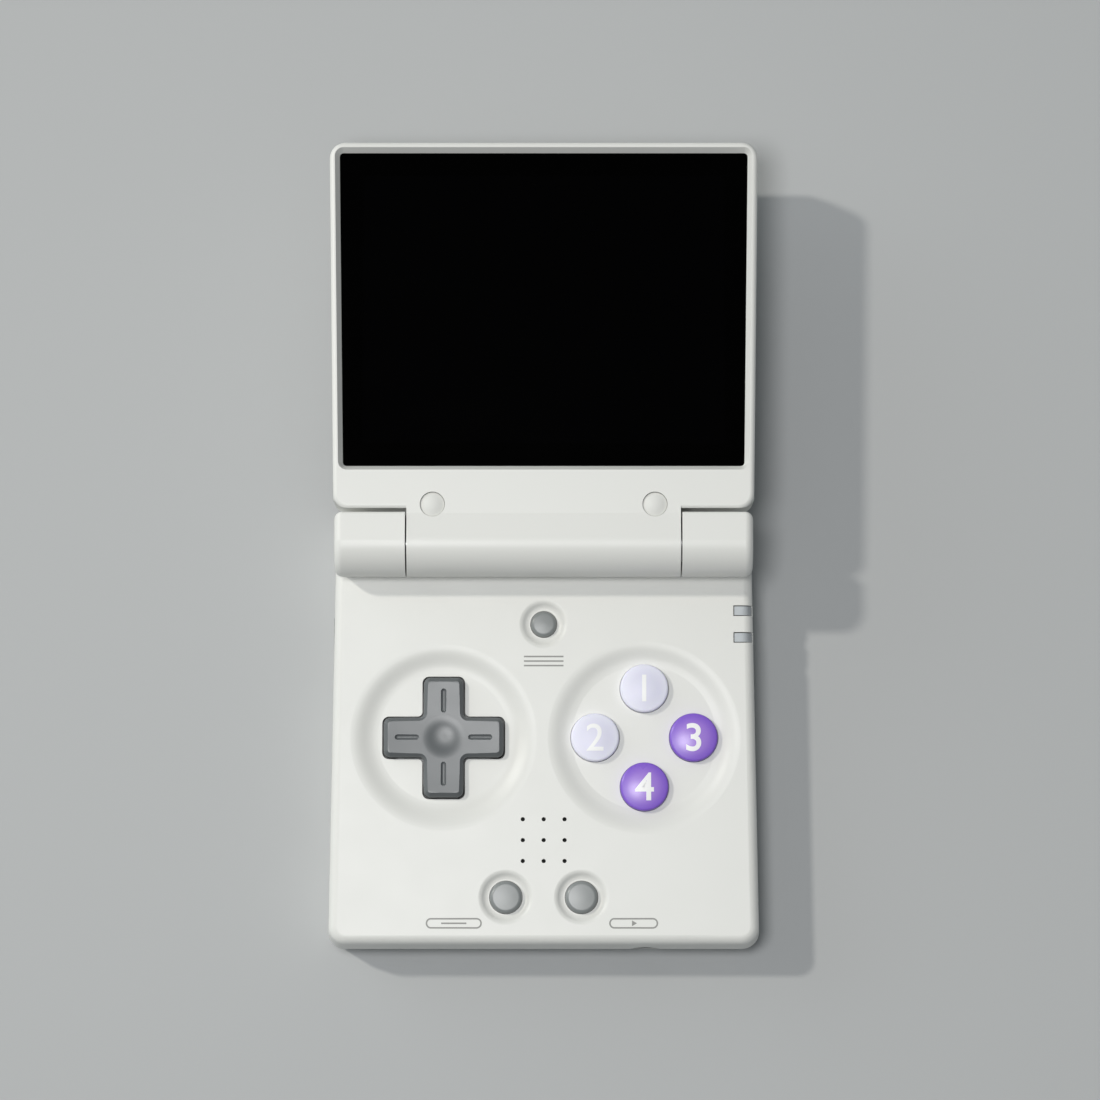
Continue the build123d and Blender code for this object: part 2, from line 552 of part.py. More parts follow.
def dpad():
    """Plus-shaped key whose arms rise a little outwards, with bevelled edges, grooves and a dished middle."""
    plan = cross_plan(DPAD_ARM, DPAD_SPAN, DPAD_CORNER, DPAD_INNER_CORNER)
    key = extrude(Pos(0, 0, DPAD_LOW_Z) * plan, amount=DPAD_TOP_Z - DPAD_LOW_Z)
    key = chamfer(key.faces().sort_by(Axis.Z)[-1].edges(), DPAD_BEVEL)
    bevel_foot = [edge for edge in key.edges() if abs(edge.center().Z - (DPAD_TOP_Z - DPAD_BEVEL)) < 0.01]
    key = fillet(bevel_foot, DPAD_BEVEL_ROUND)
    sag = (DPAD_SPAN / 2 - DPAD_BEVEL) ** 2 / (2 * DPAD_BOWL_RADIUS)
    middle_z = DPAD_TOP_Z - sag
    key -= Pos(0, 0, middle_z + DPAD_BOWL_RADIUS) * Sphere(DPAD_BOWL_RADIUS)
    bowl = max(key.faces(), key=lambda face: face.bounding_box().size.X)
    key = fillet(bowl.edges(), DPAD_TOP_ROUND)
    key -= Pos(0, 0, middle_z) * soft_step(DPAD_DISH_FLOOR, DPAD_DISH_RIM, DPAD_DISH_DEPTH)
    half_groove = DPAD_SLOT_LENGTH / 2 - DPAD_SLOT_RADIUS
    groove_z = middle_z + DPAD_SLOT_PLACE ** 2 / (2 * DPAD_BOWL_RADIUS) + DPAD_SLOT_LIFT
    groove = Rot(0, 90, 0) * Cylinder(DPAD_SLOT_RADIUS, 2 * half_groove)
    for end in both_sides(half_groove):
        groove += Pos(end, 0, 0) * Sphere(DPAD_SLOT_RADIUS)
    for quarter in range(4):
        key -= Rot(0, 0, 90 * quarter) * Pos(DPAD_SLOT_PLACE, 0, groove_z) * groove
    flange_z = DPAD_LOW_Z + DPAD_FLANGE_THICKNESS / 2
    key += Pos(0, 0, flange_z) * Cylinder(DPAD_FLANGE_RADIUS, DPAD_FLANGE_THICKNESS)
    pivot_height = DPAD_LOW_Z - DPAD_PIVOT_Z
    key += Pos(0, 0, DPAD_PIVOT_Z + pivot_height / 2) * Cylinder(DPAD_PIVOT_RADIUS, pivot_height)
    return at(DPAD_X, DPAD_REACH, 0) * key


def dpad_rocker():
    """Sprung metal ring on the board that lets the key tip both ways about its middle."""
    ring = Cylinder(DPAD_RING_OUTER, DPAD_RING_THICKNESS) - Cylinder(DPAD_RING_INNER, DPAD_RING_THICKNESS)
    return at(DPAD_X, DPAD_REACH, DPAD_PIVOT_Z - DPAD_RING_THICKNESS / 2) * ring


def membrane(x, reach, size, domes, corner=2.0):
    """Silicone contact mat on the board, with a low dome under each contact."""
    plan = RectangleRounded(*size, corner)
    mat = extrude(at(x, reach, BOARD_TOP_Z) * plan, amount=MEMBRANE_THICKNESS)
    top = BOARD_TOP_Z + MEMBRANE_THICKNESS
    for dome_x, dome_reach in domes:
        mat += disc(dome_x, dome_reach, (top - 0.1, top + DOME_HEIGHT), 2.0)
    return mat


def membranes():
    face = list(face_places().values())
    small = small_key_places()
    arm = 8.0
    dpad_domes = [(DPAD_X + dx * arm, DPAD_REACH + dy * arm) for dx, dy in ((1, 0), (-1, 0), (0, 1), (0, -1))]
    pair = [small["select_button"], small["start_button"]]
    return {
        "dpad_membrane": membrane(DPAD_X, DPAD_REACH, (26, 26), dpad_domes, 6),
        "face_button_membrane": membrane(FACE_X, FACE_REACH, (29, 29), face, 8),
        "menu_membrane": membrane(*small["menu_button"], (7, 7), [small["menu_button"]]),
        "select_start_membrane": membrane(0, SMALL_REACH, (24, 8), pair),
    }


def light_pipe(reach):
    """Clear window piece, just below the casing's face and side, with a foot over its lamp."""
    window = window_block(reach, -WINDOW_GAP) & Pos(-WINDOW_SINK, 0, -WINDOW_SINK) * base_upper_body()
    foot_z = BOARD_TOP_Z + 1.0
    foot_height = BASE_FACE_Z - WINDOW_NOTCH + 0.2 - foot_z
    foot = block(LAMP_X, reach, foot_z, (WINDOW_FOOT, WINDOW_FOOT, foot_height))
    return window + foot


# ---------------------------------------------------------------- side and rear controls

def shoulder_key(x_range, side):
    low, high = SHOULDER_Z
    plan = shoulder_plan(x_range, 0, SHOULDER_PROUD)
    key = extrude(Pos(0, 0, low) * plan, amount=high - low)
    back_edges = key.faces().sort_by(Axis.Y)[-1].edges()
    key = fillet(back_edges, 0.5)
    return key if side > 0 else mirror(key, Plane.YZ)


def shoulder_keys():
    return {
        "shoulder_key_left_outer": shoulder_key(SHOULDER_OUTER_X, -1),
        "shoulder_key_left_inner": shoulder_key(SHOULDER_INNER_X, -1),
        "shoulder_key_right_inner": shoulder_key(SHOULDER_INNER_X, 1),
        "shoulder_key_right_outer": shoulder_key(SHOULDER_OUTER_X, 1),
    }


def shoulder_switches():
    """One tactile switch on the board behind each shoulder key."""
    switches = []
    for x_range in (SHOULDER_OUTER_X, SHOULDER_INNER_X):
        for side in (-1, 1):
            x = side * sum(x_range) / 2
            body = block(x, -1.0, BOARD_TOP_Z, (4.5, 2.6, 2.0))
            stem = block(x, -2.6, BOARD_TOP_Z + 0.5, (1.8, 0.8, 1.0))
            switches.append(body + stem)
    return switches


def volume_rocker():
    outer = -half_width(ROCKER_REACH)
    inner = outer + ROCKER_DEPTH
    y = HINGE_Y - ROCKER_REACH
    half_z = ROCKER_HEIGHT / 2
    y_range = (y - ROCKER_LENGTH / 2, y + ROCKER_LENGTH / 2)
    key = span((outer, inner), y_range, (BASE_SEAM_Z - half_z, BASE_SEAM_Z + half_z))
    return fillet(key.faces().sort_by(Axis.X)[0].edges(), 0.5)


def side_button(reach, radius, proud):
    outer = half_width(reach) + proud
    inner = half_width(reach) - SIDE_STEM
    stem = at((outer + inner) / 2, reach, BASE_SEAM_Z) * Rot(0, 90, 0) * Cylinder(radius, outer - inner)
    return fillet(stem.edges().filter_by(GeomType.CIRCLE).sort_by(Axis.X)[-1], 0.3)


def side_switches():
    """Tactile switches behind the side keys: two for the rocker, one each for power and reset."""
    switches = []
    for reach in (ROCKER_REACH - 4.4, ROCKER_REACH + 4.4):
        switches.append(block(-half_width(reach) + 5.6, reach, BOARD_TOP_Z, SIDE_SWITCH))
    for reach in (POWER_REACH, RESET_REACH):
        switches.append(block(half_width(reach) - 5.0, reach, BOARD_TOP_Z, SIDE_SWITCH))
    return switches


# ---------------------------------------------------------------- electronics in the base

def main_board():
    plan = outline(-REAR, REACH, -1, BOARD_INSET, 1.5, BOARD_TOP_Z - BOARD_THICKNESS)
    board = prism(plan, BOARD_THICKNESS)
    for x, reach in SCREW_PLACES:
        for side_x in both_sides(x):
            board -= disc(side_x, reach, (0, BASE_FACE_Z), BOSS_RADIUS + 1.0)
    width, length, _ = JACK_BODY
    board -= block(JACK_X, REACH - length / 2 - 1, 0, (width + 0.6, length + 5, BASE_FACE_Z))
    rear_notch_y = HINGE_Y + REAR - WALL - 1.6
    for x_range in (SHOULDER_OUTER_X, SHOULDER_INNER_X):
        for side in (-1, 1):
            low, high = sorted((side * (x_range[0] - 0.6), side * (x_range[1] + 0.6)))
            board -= span((low, high), (rear_notch_y - 0.8, rear_notch_y + 5), (0, BASE_FACE_Z))
    rocker_x = -half_width(ROCKER_REACH)
    board -= block(rocker_x, ROCKER_REACH, 0, (8.4, ROCKER_LENGTH + 1, BASE_FACE_Z))
    for reach, radius in ((POWER_REACH, POWER_RADIUS), (RESET_REACH, RESET_RADIUS)):
        board -= block(half_width(reach), reach, 0, (7.4, 2 * radius + 1, BASE_FACE_Z))
    return board


def chip(place, size, under=True):
    """A packaged chip soldered to the board's underside, or to its upper side."""
    z = BOARD_TOP_Z - BOARD_THICKNESS - size[2] if under else BOARD_TOP_Z
    return block(*place, z, size)


def status_lamps():
    return [block(LAMP_X, reach, BOARD_TOP_Z, LAMP_SIZE) for reach in WINDOW_REACHES]


def loudspeaker():
    width, length, height = SPEAKER_SIZE
    ceiling = BASE_FACE_Z - WALL
    low = ceiling - 0.2 - height
    body = extrude(at(0, SPEAKER_REACH, low) * RectangleRounded(width, length, 2), amount=height)
    return body - disc(0, SPEAKER_REACH, (low + height - 0.4, low + height + 1), SPEAKER_CONE)


def speaker_mesh():
    width, length, thickness = SPEAKER_MESH
    low = BASE_FACE_Z - WALL - thickness
    return extrude(at(0, SPEAKER_REACH, low) * RectangleRounded(width, length, 2), amount=thickness)


def headphone_jack():
    width, length, height = JACK_BODY
    front_reach = REACH - WALL - 0.6
    body = block(JACK_X, front_reach - length / 2, JACK_Z - height / 2, JACK_BODY)
    nose_length = WALL + 0.2
    nose_place = at(JACK_X, front_reach + nose_length / 2, JACK_Z)
    nose = nose_place * Rot(90, 0, 0) * Cylinder(JACK_NOSE, nose_length)
    bore = at(JACK_X, front_reach - length / 2, JACK_Z) * Rot(90, 0, 0) * Cylinder(JACK_RADIUS, length * 3)
    back_wall = block(JACK_X, front_reach - length + 0.3, JACK_Z - height / 2, (width, 0.6, height))
    return body + nose - bore + back_wall


def shell_port(depth, opening):
    """A sheet-metal receptacle along +Y, its mouth at y = 0, with a tongue inside."""
    width, height = opening
    outer = RectangleRounded(width + 2 * PORT_WALL, height + 2 * PORT_WALL, 0.45 * height)
    inner = RectangleRounded(width, height, 0.4 * height)
    tube = extrude(Plane.XZ * (outer - inner), amount=-depth)
    back = extrude(Plane.XZ.offset(-depth + 0.6) * outer, amount=-0.6)
    tongue = Pos(0, depth / 2 + 0.6, 0) * Box(0.72 * width, depth - 1.2, PORT_TONGUE * height)
    return tube + back + tongue


def usb_port():
    port = shell_port(USB_BODY_DEPTH, USB_OPENING)
    mouth_y = HINGE_Y + REAR - 0.35
    return Pos(0, mouth_y, USB_Z) * Rot(0, 0, 180) * port


def hdmi_port():
    port = shell_port(HDMI_BODY_DEPTH, HDMI_OPENING)
    return at(-half_width(HDMI_REACH) + 0.75, HDMI_REACH, HDMI_Z) * Rot(0, 0, -90) * port


def card_socket(reach):
    depth, length, height = CARD_BODY
    outer_x = half_width(reach) - WALL - 0.5
    slot_length, slot_height = CARD_SLOT
    body = at(outer_x - depth / 2, reach, CARD_Z) * Box(depth, length, height)
    slot = at(outer_x - depth / 2 + 0.8, reach, CARD_Z) * Box(depth, slot_length - 0.6, slot_height - 0.3)
    return body - slot


def memory_card():
    """The card in the socket nearer the hinge, its end just inside the wall's outer face."""
    reach = CARD_REACHES[0]
    outer_x = half_width(reach) - 1.4
    return at(outer_x - CARD_SIZE[0] / 2, reach, CARD_Z) * Box(*CARD_SIZE)


def battery_pack():
    width, length, height = BATTERY_SIZE
    cell = extrude(at(BATTERY_X, BATTERY_REACH, WALL) * RectangleRounded(width, length, 1.2), amount=height)
    return fillet(cell.edges().filter_by(Axis.Z, reverse=True).group_by(Axis.Z)[-1], 0.8)


def vibration_motor():
    return disc(*MOTOR_PLACE, (MOTOR_LOW_Z, BOARD_TOP_Z - BOARD_THICKNESS), MOTOR_RADIUS)


# ---------------------------------------------------------------- hinge

def hinge_friction_unit():
    """Cartridge in the left knuckle that holds the lid where it is put."""
    radius = LEFT_BORE - 0.03
    inner = KNUCKLE_INNER + 0.3
    body = rod((-BORE_END, -inner), radius)
    return body - rod((-PIN_OUTER - 0.3, -inner + 1), PIN_RADIUS + PIN_FIT)


def hinge_pin():
    """Steel shaft fixed in the lid's barrel, turning in the friction unit."""
    return rod((-PIN_OUTER, -PIN_INNER), PIN_RADIUS)


def hinge_sleeve():
    """Hollow pivot on the right, fixed in the lid's barrel, through which the screen's cable passes."""
    hole = rod((SLEEVE_INNER - 1, SLEEVE_OUTER + 1), SLEEVE_HOLE)
    return rod((SLEEVE_INNER, SLEEVE_OUTER), SLEEVE_RADIUS) - hole


def screen_cable_roll():
    """Screen cable on the lid's side: rolled on the hinge axis, then a strip to the screen."""
    roll_x = (8.0, SLEEVE_OUTER + 1.4)
    roll = rod(roll_x, ROLL_RADIUS) - rod((roll_x[0] - 1, roll_x[1] + 1), ROLL_RADIUS - ROLL_WALL)
    strip_x = (8.0, 18.0)
    y_range = (HINGE_Y + ROLL_RADIUS - 0.6, HINGE_Y + PANEL_NEAR + 12)
    strip = span(strip_x, y_range, (HINGE_Z - 0.6, HINGE_Z - 0.3))
    return roll + strip


def screen_cable_riser():
    """Screen cable on the base's side: from the board up to the roll's outer end."""
    top_z = HINGE_Z - ROLL_RADIUS - 0.3
    return span((37.6, 38.8), (HINGE_Y - 1.6, HINGE_Y - 1.3), (BOARD_TOP_Z, top_z))


# ---------------------------------------------------------------- lid

def neck_profile():
    """Section of the barrel and its neck, looking along the hinge axis from the right."""
    top = HINGE_Z + LID_HALF_THICKNESS
    low = HINGE_Z - LID_HALF_THICKNESS
    crown_z = HINGE_Z + BARREL_RADIUS
    points = [
        (HINGE_Y, crown_z),
        (HINGE_Y + RAMP_END, top),
        (HINGE_Y + NECK_END, top),
        (HINGE_Y + NECK_END, low),
        (HINGE_Y + 1.5, low),
        (HINGE_Y, HINGE_Z - BARREL_RADIUS + 1),
    ]
    return make_face(Polyline(*points, close=True)) + Pos(HINGE_Y, HINGE_Z) * Circle(BARREL_RADIUS)


def neck():
    return extrude(Plane.YZ.offset(-BARREL_HALF) * neck_profile(), amount=2 * BARREL_HALF)


def tab_region():
    """Under the neck, where the lid's back reaches to the screws."""
    y_range = (HINGE_Y + 4.4, HINGE_Y + NECK_END)
    return span(both_sides(BARREL_HALF), y_range, (LID_BACK_Z, LID_BACK_Z + TAB_THICKNESS))


def lid_half(z_edge, round_radius):
    """Half of the lid's outer form, from the seam to its face or to its back."""
    rim = outline(LID_NEAR, LID_REACH, 1, z=LID_SEAM_Z)
    body = prism(rim, z_edge - LID_SEAM_Z, DRAFT)
    index = -1 if z_edge > LID_SEAM_Z else 0
    body = fillet(body.faces().sort_by(Axis.Z)[index].edges(), round_radius)
    return body - rod(both_sides(END_HALF_WIDTH + 1), SWING_RADIUS)


def lid_cavity(low, high):
    return prism(outline(NECK_END - 0.4, LID_REACH, 1, WALL + 0.2, CORNER - 1.2, low), high - low)


def glass_plan(grow, z):
    """Plan of the glass that shows, grown outwards by a given amount."""
    near_trim = GLASS_NEAR - GLASS_INSET
    return outline(near_trim, LID_REACH, 1, GLASS_INSET - grow, GLASS_CORNER + max(grow, 0), z)


def ledge_plan(z):
    near_trim = GLASS_NEAR - GLASS_INSET
    return outline(near_trim, LID_REACH, 1, GLASS_INSET + LEDGE_WIDTH, GLASS_CORNER, z)


def lid_inner_shell():
    glass_top = LID_FACE_Z - GLASS_DEPTH
    shell = lid_half(LID_FACE_Z, LID_FACE_ROUND) + neck() - tab_region()
    shell -= lid_cavity(LID_SEAM_Z - 1, LEDGE_Z - LEDGE_THICKNESS)
    slope = degrees(atan((GLASS_INSET - RIM) / GLASS_DEPTH))
    shell -= prism(glass_plan(0, glass_top), GLASS_DEPTH, -slope)
    shell -= prism(glass_plan(0.1, LEDGE_Z), glass_top - LEDGE_Z)
    shell -= prism(ledge_plan(LEDGE_Z - 3), 4)
    for x in both_sides(COVER_X):
        shell -= disc(x, COVER_REACH, (LID_FACE_Z - COVER_RECESS, LID_FACE_Z + 1), COVER_RADIUS, 1)
        shell -= disc(x, COVER_REACH, (LID_BACK_Z, LID_FACE_Z), SCREW_CLEARANCE, 1)
    shell -= rod((-BARREL_HALF - 1, -PIN_INNER), PIN_RADIUS)
    shell -= rod((SLEEVE_INNER, BARREL_HALF + 1), SLEEVE_RADIUS)
    shell -= rod((7.0, SLEEVE_INNER + 1), SLEEVE_HOLE)
    cable_way = span((7.0, 19.0), (HINGE_Y, HINGE_Y + NECK_END + 4), (HINGE_Z - 1.2, HINGE_Z + 0.4))
    return shell - cable_way


def lid_outer_shell():
    shell = lid_half(LID_BACK_Z, LID_BACK_ROUND) - neck()
    shell -= lid_cavity(LID_BACK_Z + WALL, LID_SEAM_Z + 1)
    shell += tab_region() & neck()
    floor = LID_BACK_Z + WALL
    for x in both_sides(COVER_X):
        shell -= disc(x, COVER_REACH, (LID_BACK_Z + 0.8, LID_SEAM_Z), SCREW_RADIUS, 1)
    for reach in (24.0, 42.0, 60.0):
        shell += block(0, reach, floor - 0.1, (70.0, 1.0, 1.6), 1)
    return shell


def lid_screws():
    places = [(x, COVER_REACH) for x in both_sides(COVER_X)]
    return screw_set(places, LID_FACE_Z - COVER_RECESS, LID_BACK_Z + 1.0, HEAD_RADIUS, SCREW_RADIUS, 1, -1)


def screw_cover(side):
    """Rubber plug with a domed top over a lid screw, its crown just proud of the lid."""
    radius = COVER_RADIUS - 0.06
    top_z = LID_FACE_Z + COVER_PROUD
    edge_z = top_z - COVER_CROWN
    low_z = LID_FACE_Z - COVER_LENGTH
    dome_radius = (radius ** 2 + COVER_CROWN ** 2) / (2 * COVER_CROWN)
    half_angle = asin(radius / dome_radius) / 2
    on_dome = (dome_radius * sin(half_angle), top_z - dome_radius * (1 - cos(half_angle)))
    dome = ThreePointArc((radius, edge_z), on_dome, (0, top_z))
    sides = Polyline((0, top_z), (0, low_z), (radius, low_z), (radius, edge_z))
    profile = make_face([dome, *sides.edges()])
    rim = profile.vertices().sort_by(lambda v: abs(v.X - radius) + abs(v.Y - edge_z))[0]
    return at(side * COVER_X, COVER_REACH, 0, 1) * revolve(Plane.XZ * fillet(rim, 0.25), Axis.Z, 360)


def cover_glass():
    top = LID_FACE_Z - GLASS_DEPTH
    glass = prism(glass_plan(0.05, top - GLASS_THICKNESS), GLASS_THICKNESS)
    return chamfer(glass.faces().sort_by(Axis.Z)[-1].edges(), 0.12)


def glass_gasket():
    ring = glass_plan(0.0, LEDGE_Z) - ledge_plan(LEDGE_Z)
    return prism(ring, GASKET_THICKNESS)


def panel_layer(top_z, thickness):
    size = (PANEL_WIDTH, PANEL_FAR - PANEL_NEAR, thickness)
    return block(0, (PANEL_NEAR + PANEL_FAR) / 2, top_z - thickness, size, 1)


def screen_stack():
    """The display under the glass: panel, backlight and the steel tray that holds them."""
    panel_top = LEDGE_Z
    backlight_top = panel_top - PANEL_THICKNESS
    tray_top = backlight_top - BACKLIGHT_THICKNESS
    tray = panel_layer(tray_top, TRAY_THICKNESS)
    return {
        "display_panel": panel_layer(panel_top, PANEL_THICKNESS),
        "backlight_unit": panel_layer(backlight_top, BACKLIGHT_THICKNESS),
        "display_tray": tray,
    }


def lid_magnet():
    """Magnet that tells the base's sensor that the lid is shut."""
    floor = LID_BACK_Z + WALL
    return disc(*SENSOR_PLACE, (floor, floor + MAGNET_THICKNESS), MAGNET_RADIUS, 1)


def lid_sensor():
    return chip(SENSOR_PLACE, SENSOR_SIZE, under=False)


def write_parts():
    parts = {
        "base_top_shell": base_top_shell(),
        "base_bottom_shell": base_bottom_shell(),
        "base_screws": Compound(children=base_screws()),
        "dpad": dpad(),
        "dpad_rocker": dpad_rocker(),
        "light_pipe_rear": light_pipe(WINDOW_REACHES[0]),
        "light_pipe_front": light_pipe(WINDOW_REACHES[1]),
        "status_lamps": Compound(children=status_lamps()),
        "loudspeaker": loudspeaker(),
        "speaker_mesh": speaker_mesh(),
        "shoulder_switches": Compound(children=shoulder_switches()),
        "volume_rocker": volume_rocker(),
        "power_button": side_button(POWER_REACH, POWER_RADIUS, 0),
        "reset_button": side_button(RESET_REACH, RESET_RADIUS, -RESET_SUNK),
        "side_switches": Compound(children=side_switches()),
        "main_board": main_board(),
        "processor": chip(PROCESSOR_PLACE, PROCESSOR_SIZE),
        "memory_chip": chip(MEMORY_PLACE, MEMORY_SIZE),
        "power_chip": chip(POWER_CHIP_PLACE, POWER_CHIP_SIZE),
        "wireless_module": chip(RADIO_PLACE, RADIO_SIZE),
        "battery_pack": battery_pack(),
        "vibration_motor": vibration_motor(),
        "headphone_jack": headphone_jack(),
        "usb_port": usb_port(),
        "hdmi_port": hdmi_port(),
        "card_socket_rear": card_socket(CARD_REACHES[0]),
        "card_socket_front": card_socket(CARD_REACHES[1]),
        "memory_card": memory_card(),
        "lid_sensor": lid_sensor(),
        "hinge_friction_unit": hinge_friction_unit(),
        "hinge_pin": hinge_pin(),
        "hinge_sleeve": hinge_sleeve(),
        "screen_cable_roll": screen_cable_roll(),
        "screen_cable_riser": screen_cable_riser(),
        "lid_inner_shell": lid_inner_shell(),
        "lid_outer_shell": lid_outer_shell(),
        "lid_screws": Compound(children=lid_screws()),
        "screw_cover_left": screw_cover(-1),
        "screw_cover_right": screw_cover(1),
        "cover_glass": cover_glass(),
        "glass_gasket": glass_gasket(),
        "lid_magnet": lid_magnet(),
    }
    for group in (face_buttons(), small_buttons(), membranes(), shoulder_keys(), screen_stack()):
        parts.update(group)
    os.makedirs("parts", exist_ok=True)
    for name, part in parts.items():
        export_step(part, f"parts/{name}.step")


write_parts()
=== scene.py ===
"""Looks of a clamshell handheld game console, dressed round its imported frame. Metres, +Z up."""

import math

import bmesh
import bpy
from bpy.props import FloatProperty, FloatVectorProperty, PointerProperty
from mathutils import Matrix, Vector


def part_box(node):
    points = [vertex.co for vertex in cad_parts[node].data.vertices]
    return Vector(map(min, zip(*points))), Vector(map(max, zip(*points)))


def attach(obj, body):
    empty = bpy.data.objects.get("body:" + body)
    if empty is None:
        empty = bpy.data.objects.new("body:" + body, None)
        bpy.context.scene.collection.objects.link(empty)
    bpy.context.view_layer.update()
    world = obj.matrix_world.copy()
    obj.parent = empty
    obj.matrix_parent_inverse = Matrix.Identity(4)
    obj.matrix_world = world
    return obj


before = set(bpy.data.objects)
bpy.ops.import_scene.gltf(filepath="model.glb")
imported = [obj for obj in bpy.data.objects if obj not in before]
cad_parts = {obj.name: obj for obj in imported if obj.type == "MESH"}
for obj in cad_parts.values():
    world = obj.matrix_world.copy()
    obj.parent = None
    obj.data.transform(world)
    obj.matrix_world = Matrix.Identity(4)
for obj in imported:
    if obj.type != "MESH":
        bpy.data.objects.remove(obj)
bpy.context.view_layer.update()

bl_info = {
    "name": "Clamshell game console finish",
    "version": (1, 0, 0),
    "blender": (4, 5, 0),
    "location": "View3D > Sidebar > Console",
    "description": "Finishes, digits, legends, lights and camera for a clamshell handheld game console",
    "category": "Object",
}

MM = 0.001
FACE_KEYS = ("face_button_top", "face_button_left", "face_button_right", "face_button_bottom")
SMALL_KEYS = ("menu_button", "select_button", "start_button")
SHELLS = ("base_top_shell", "base_bottom_shell", "lid_inner_shell", "lid_outer_shell")


# Sizes of the console's own shapes that the finishes follow.
FACE_HEIGHT = 14.2 * MM          # the base's face above the table
KEY_RADIUS = 4.76 * MM
KEY_CROWN = 0.55 * MM            # how far a face key's dome rises from rim to middle
WINDOW_HIGHLIGHT_END = 1.0 * MM             # the end of a status window over its lamp that is painted fully lighter, a painted highlight

# Digits and signs.
PALE_BOLDNESS, VIOLET_BOLDNESS = 0.03 * MM, 0.10 * MM
FONT_SIZE_PER_HEIGHT = 1.39      # the font's size against the height of its digits
DIGIT_CUT = 0.4 * MM             # spacing of the cuts that let a digit follow the dome
MENU_SIGN_DROP = 7.35 * MM       # from the key's middle to the sign's
LOWER_SIGN_SHIFT, LOWER_SIGN_DROP = 10.2 * MM, 5.1 * MM
MERGE_DISTANCE = 1e-6
NUDGE = 1e-9                     # sends a vertex on the middle line to one side

# The stage. Each light has a place, a radius, a power and a tint.
OVERHEAD_PLACE, OVERHEAD_RADIUS, OVERHEAD_POWER = (-0.09, -0.01, 0.76), 0.10, 2.2
OVERHEAD_TINT = (1, 1, 1)
SLANT_PLACE, SLANT_RADIUS, SLANT_POWER = (-1.20, 0.60, 1.42), 0.06, 12.8
SLANT_TINT = (1, 0.97, 0.90)
FLOOR_HALF_WIDTH = 6.0

# The world. Each part has a direction, the cosines between which it fades, and its levels there.
WORLD_COLOUR = (0.90, 0.97, 1.0, 1)
SKY_AT, SKY_EDGES, SKY_LEVELS = (0, 0, 1), (0.0, 0.9), (0.13, 0.24)
PATCH_AT, PATCH_EDGES, PATCH_LEVELS = (-0.86, 0.48, 0.12), (0.78, 0.97), (0.0, 1.5)
FLAG_AT, FLAG_EDGES, FLAG_LEVELS = (0.0, 0.170, 0.985), (0.968, 0.993), (1.0, 0.02)

CAMERA_PLACE = (1.24 * MM, -75.4 * MM, 934.0 * MM)
CAMERA_TILT = 6.86               # degrees off straight down
CAMERA_LENS, CAMERA_SENSOR = 153.3, 36.0


# ------------------------------------------------------------------ sizes and colours a user would change

def colour(name, description, value):
    return FloatVectorProperty(
        name=name, description=description, default=value, size=3, subtype="COLOR", min=0, max=1
    )


def length(name, description, value):
    return FloatProperty(
        name=name, description=description, default=value, unit="LENGTH", subtype="DISTANCE"
    )


class ConsoleColours(bpy.types.PropertyGroup):
    casing: colour("Casing", "Warm light grey of the moulded shells", (0.79, 0.79, 0.76))
    direction_key: colour("Direction key", "Dark grey of the plus-shaped key", (0.125, 0.135, 0.141))
    small_key: colour("Small keys", "Grey of the menu, select and start keys", (0.25, 0.265, 0.265))
    pale_key: colour("Pale keys", "Lavender of the top and left face keys", (0.77, 0.765, 0.91))
    # Painted light: the pale keys' rim tone is lighter than their middle, lifting the shade that falls on
    # the rim of each dome.
    pale_rim: colour("Pale key rims", "Deeper lavender at the rims of the pale keys", (0.86, 0.86, 1.0))
    violet_key: colour("Violet keys", "Violet of the right and bottom face keys", (0.38, 0.22, 0.74))
    # Partly painted light: the violet keys' deeper rim stands partly for the depth of the translucent
    # plastic and partly as painted shade round a painted reflection in the lighter middle.
    violet_rim: colour("Violet key rims", "Deeper violet at the rims of the violet keys", (0.25, 0.12, 0.66))
    digit: colour("Digits", "White ink in the face keys", (0.97, 0.97, 0.97))
    legend: colour("Legends", "Grey ink of the marks on the base", (0.30, 0.30, 0.285))
    window: colour("Status windows", "Frosted grey of the light windows", (0.45, 0.475, 0.495))
    floor: colour("Floor", "Pale floor under the console", (0.50, 0.51, 0.515))


class ConsoleSizes(bpy.types.PropertyGroup):
    digit_height: length("Digit height", "Height of the digits on the face keys", 5.5 * MM)
    digit_depth: length("Digit depth", "Thickness of the ink of a digit", 0.05 * MM)
    legend_height: length("Legend height", "Height of the marks beside the small keys", 2.1 * MM)
    legend_depth: length("Legend depth", "Thickness of the ink of a mark", 0.03 * MM)
    legend_stroke: length("Legend stroke", "Width of the lines of a mark", 0.3 * MM)


# ------------------------------------------------------------------ shader node groups

def new_group(name, inputs, outputs):
    """An empty shader group with named float or colour sockets; returns it with its ends."""
    group = bpy.data.node_groups.new(name, "ShaderNodeTree")
    for label, kind, value in inputs:
        socket = group.interface.new_socket(label, in_out="INPUT", socket_type=kind)
        socket.default_value = value
    for label, kind in outputs:
        group.interface.new_socket(label, in_out="OUTPUT", socket_type=kind)
    return group, group.nodes.new("NodeGroupInput"), group.nodes.new("NodeGroupOutput")


def link(tree, source, target):
    tree.links.new(source, target)


def object_place(tree):
    return tree.nodes.new("ShaderNodeTexCoord").outputs["Object"]


def split(tree, vector):
    """The three numbers of a vector, as sockets."""
    parts = tree.nodes.new("ShaderNodeSeparateXYZ")
    link(tree, vector, parts.inputs[0])
    return parts.outputs


def math_node(tree, operation, first, second):
    node = tree.nodes.new("ShaderNodeMath")
    node.operation = operation
    for socket, value in zip(node.inputs, (first, second)):
        if isinstance(value, (int, float)):
            socket.default_value = value
        else:
            link(tree, value, socket)
    return node.outputs[0]


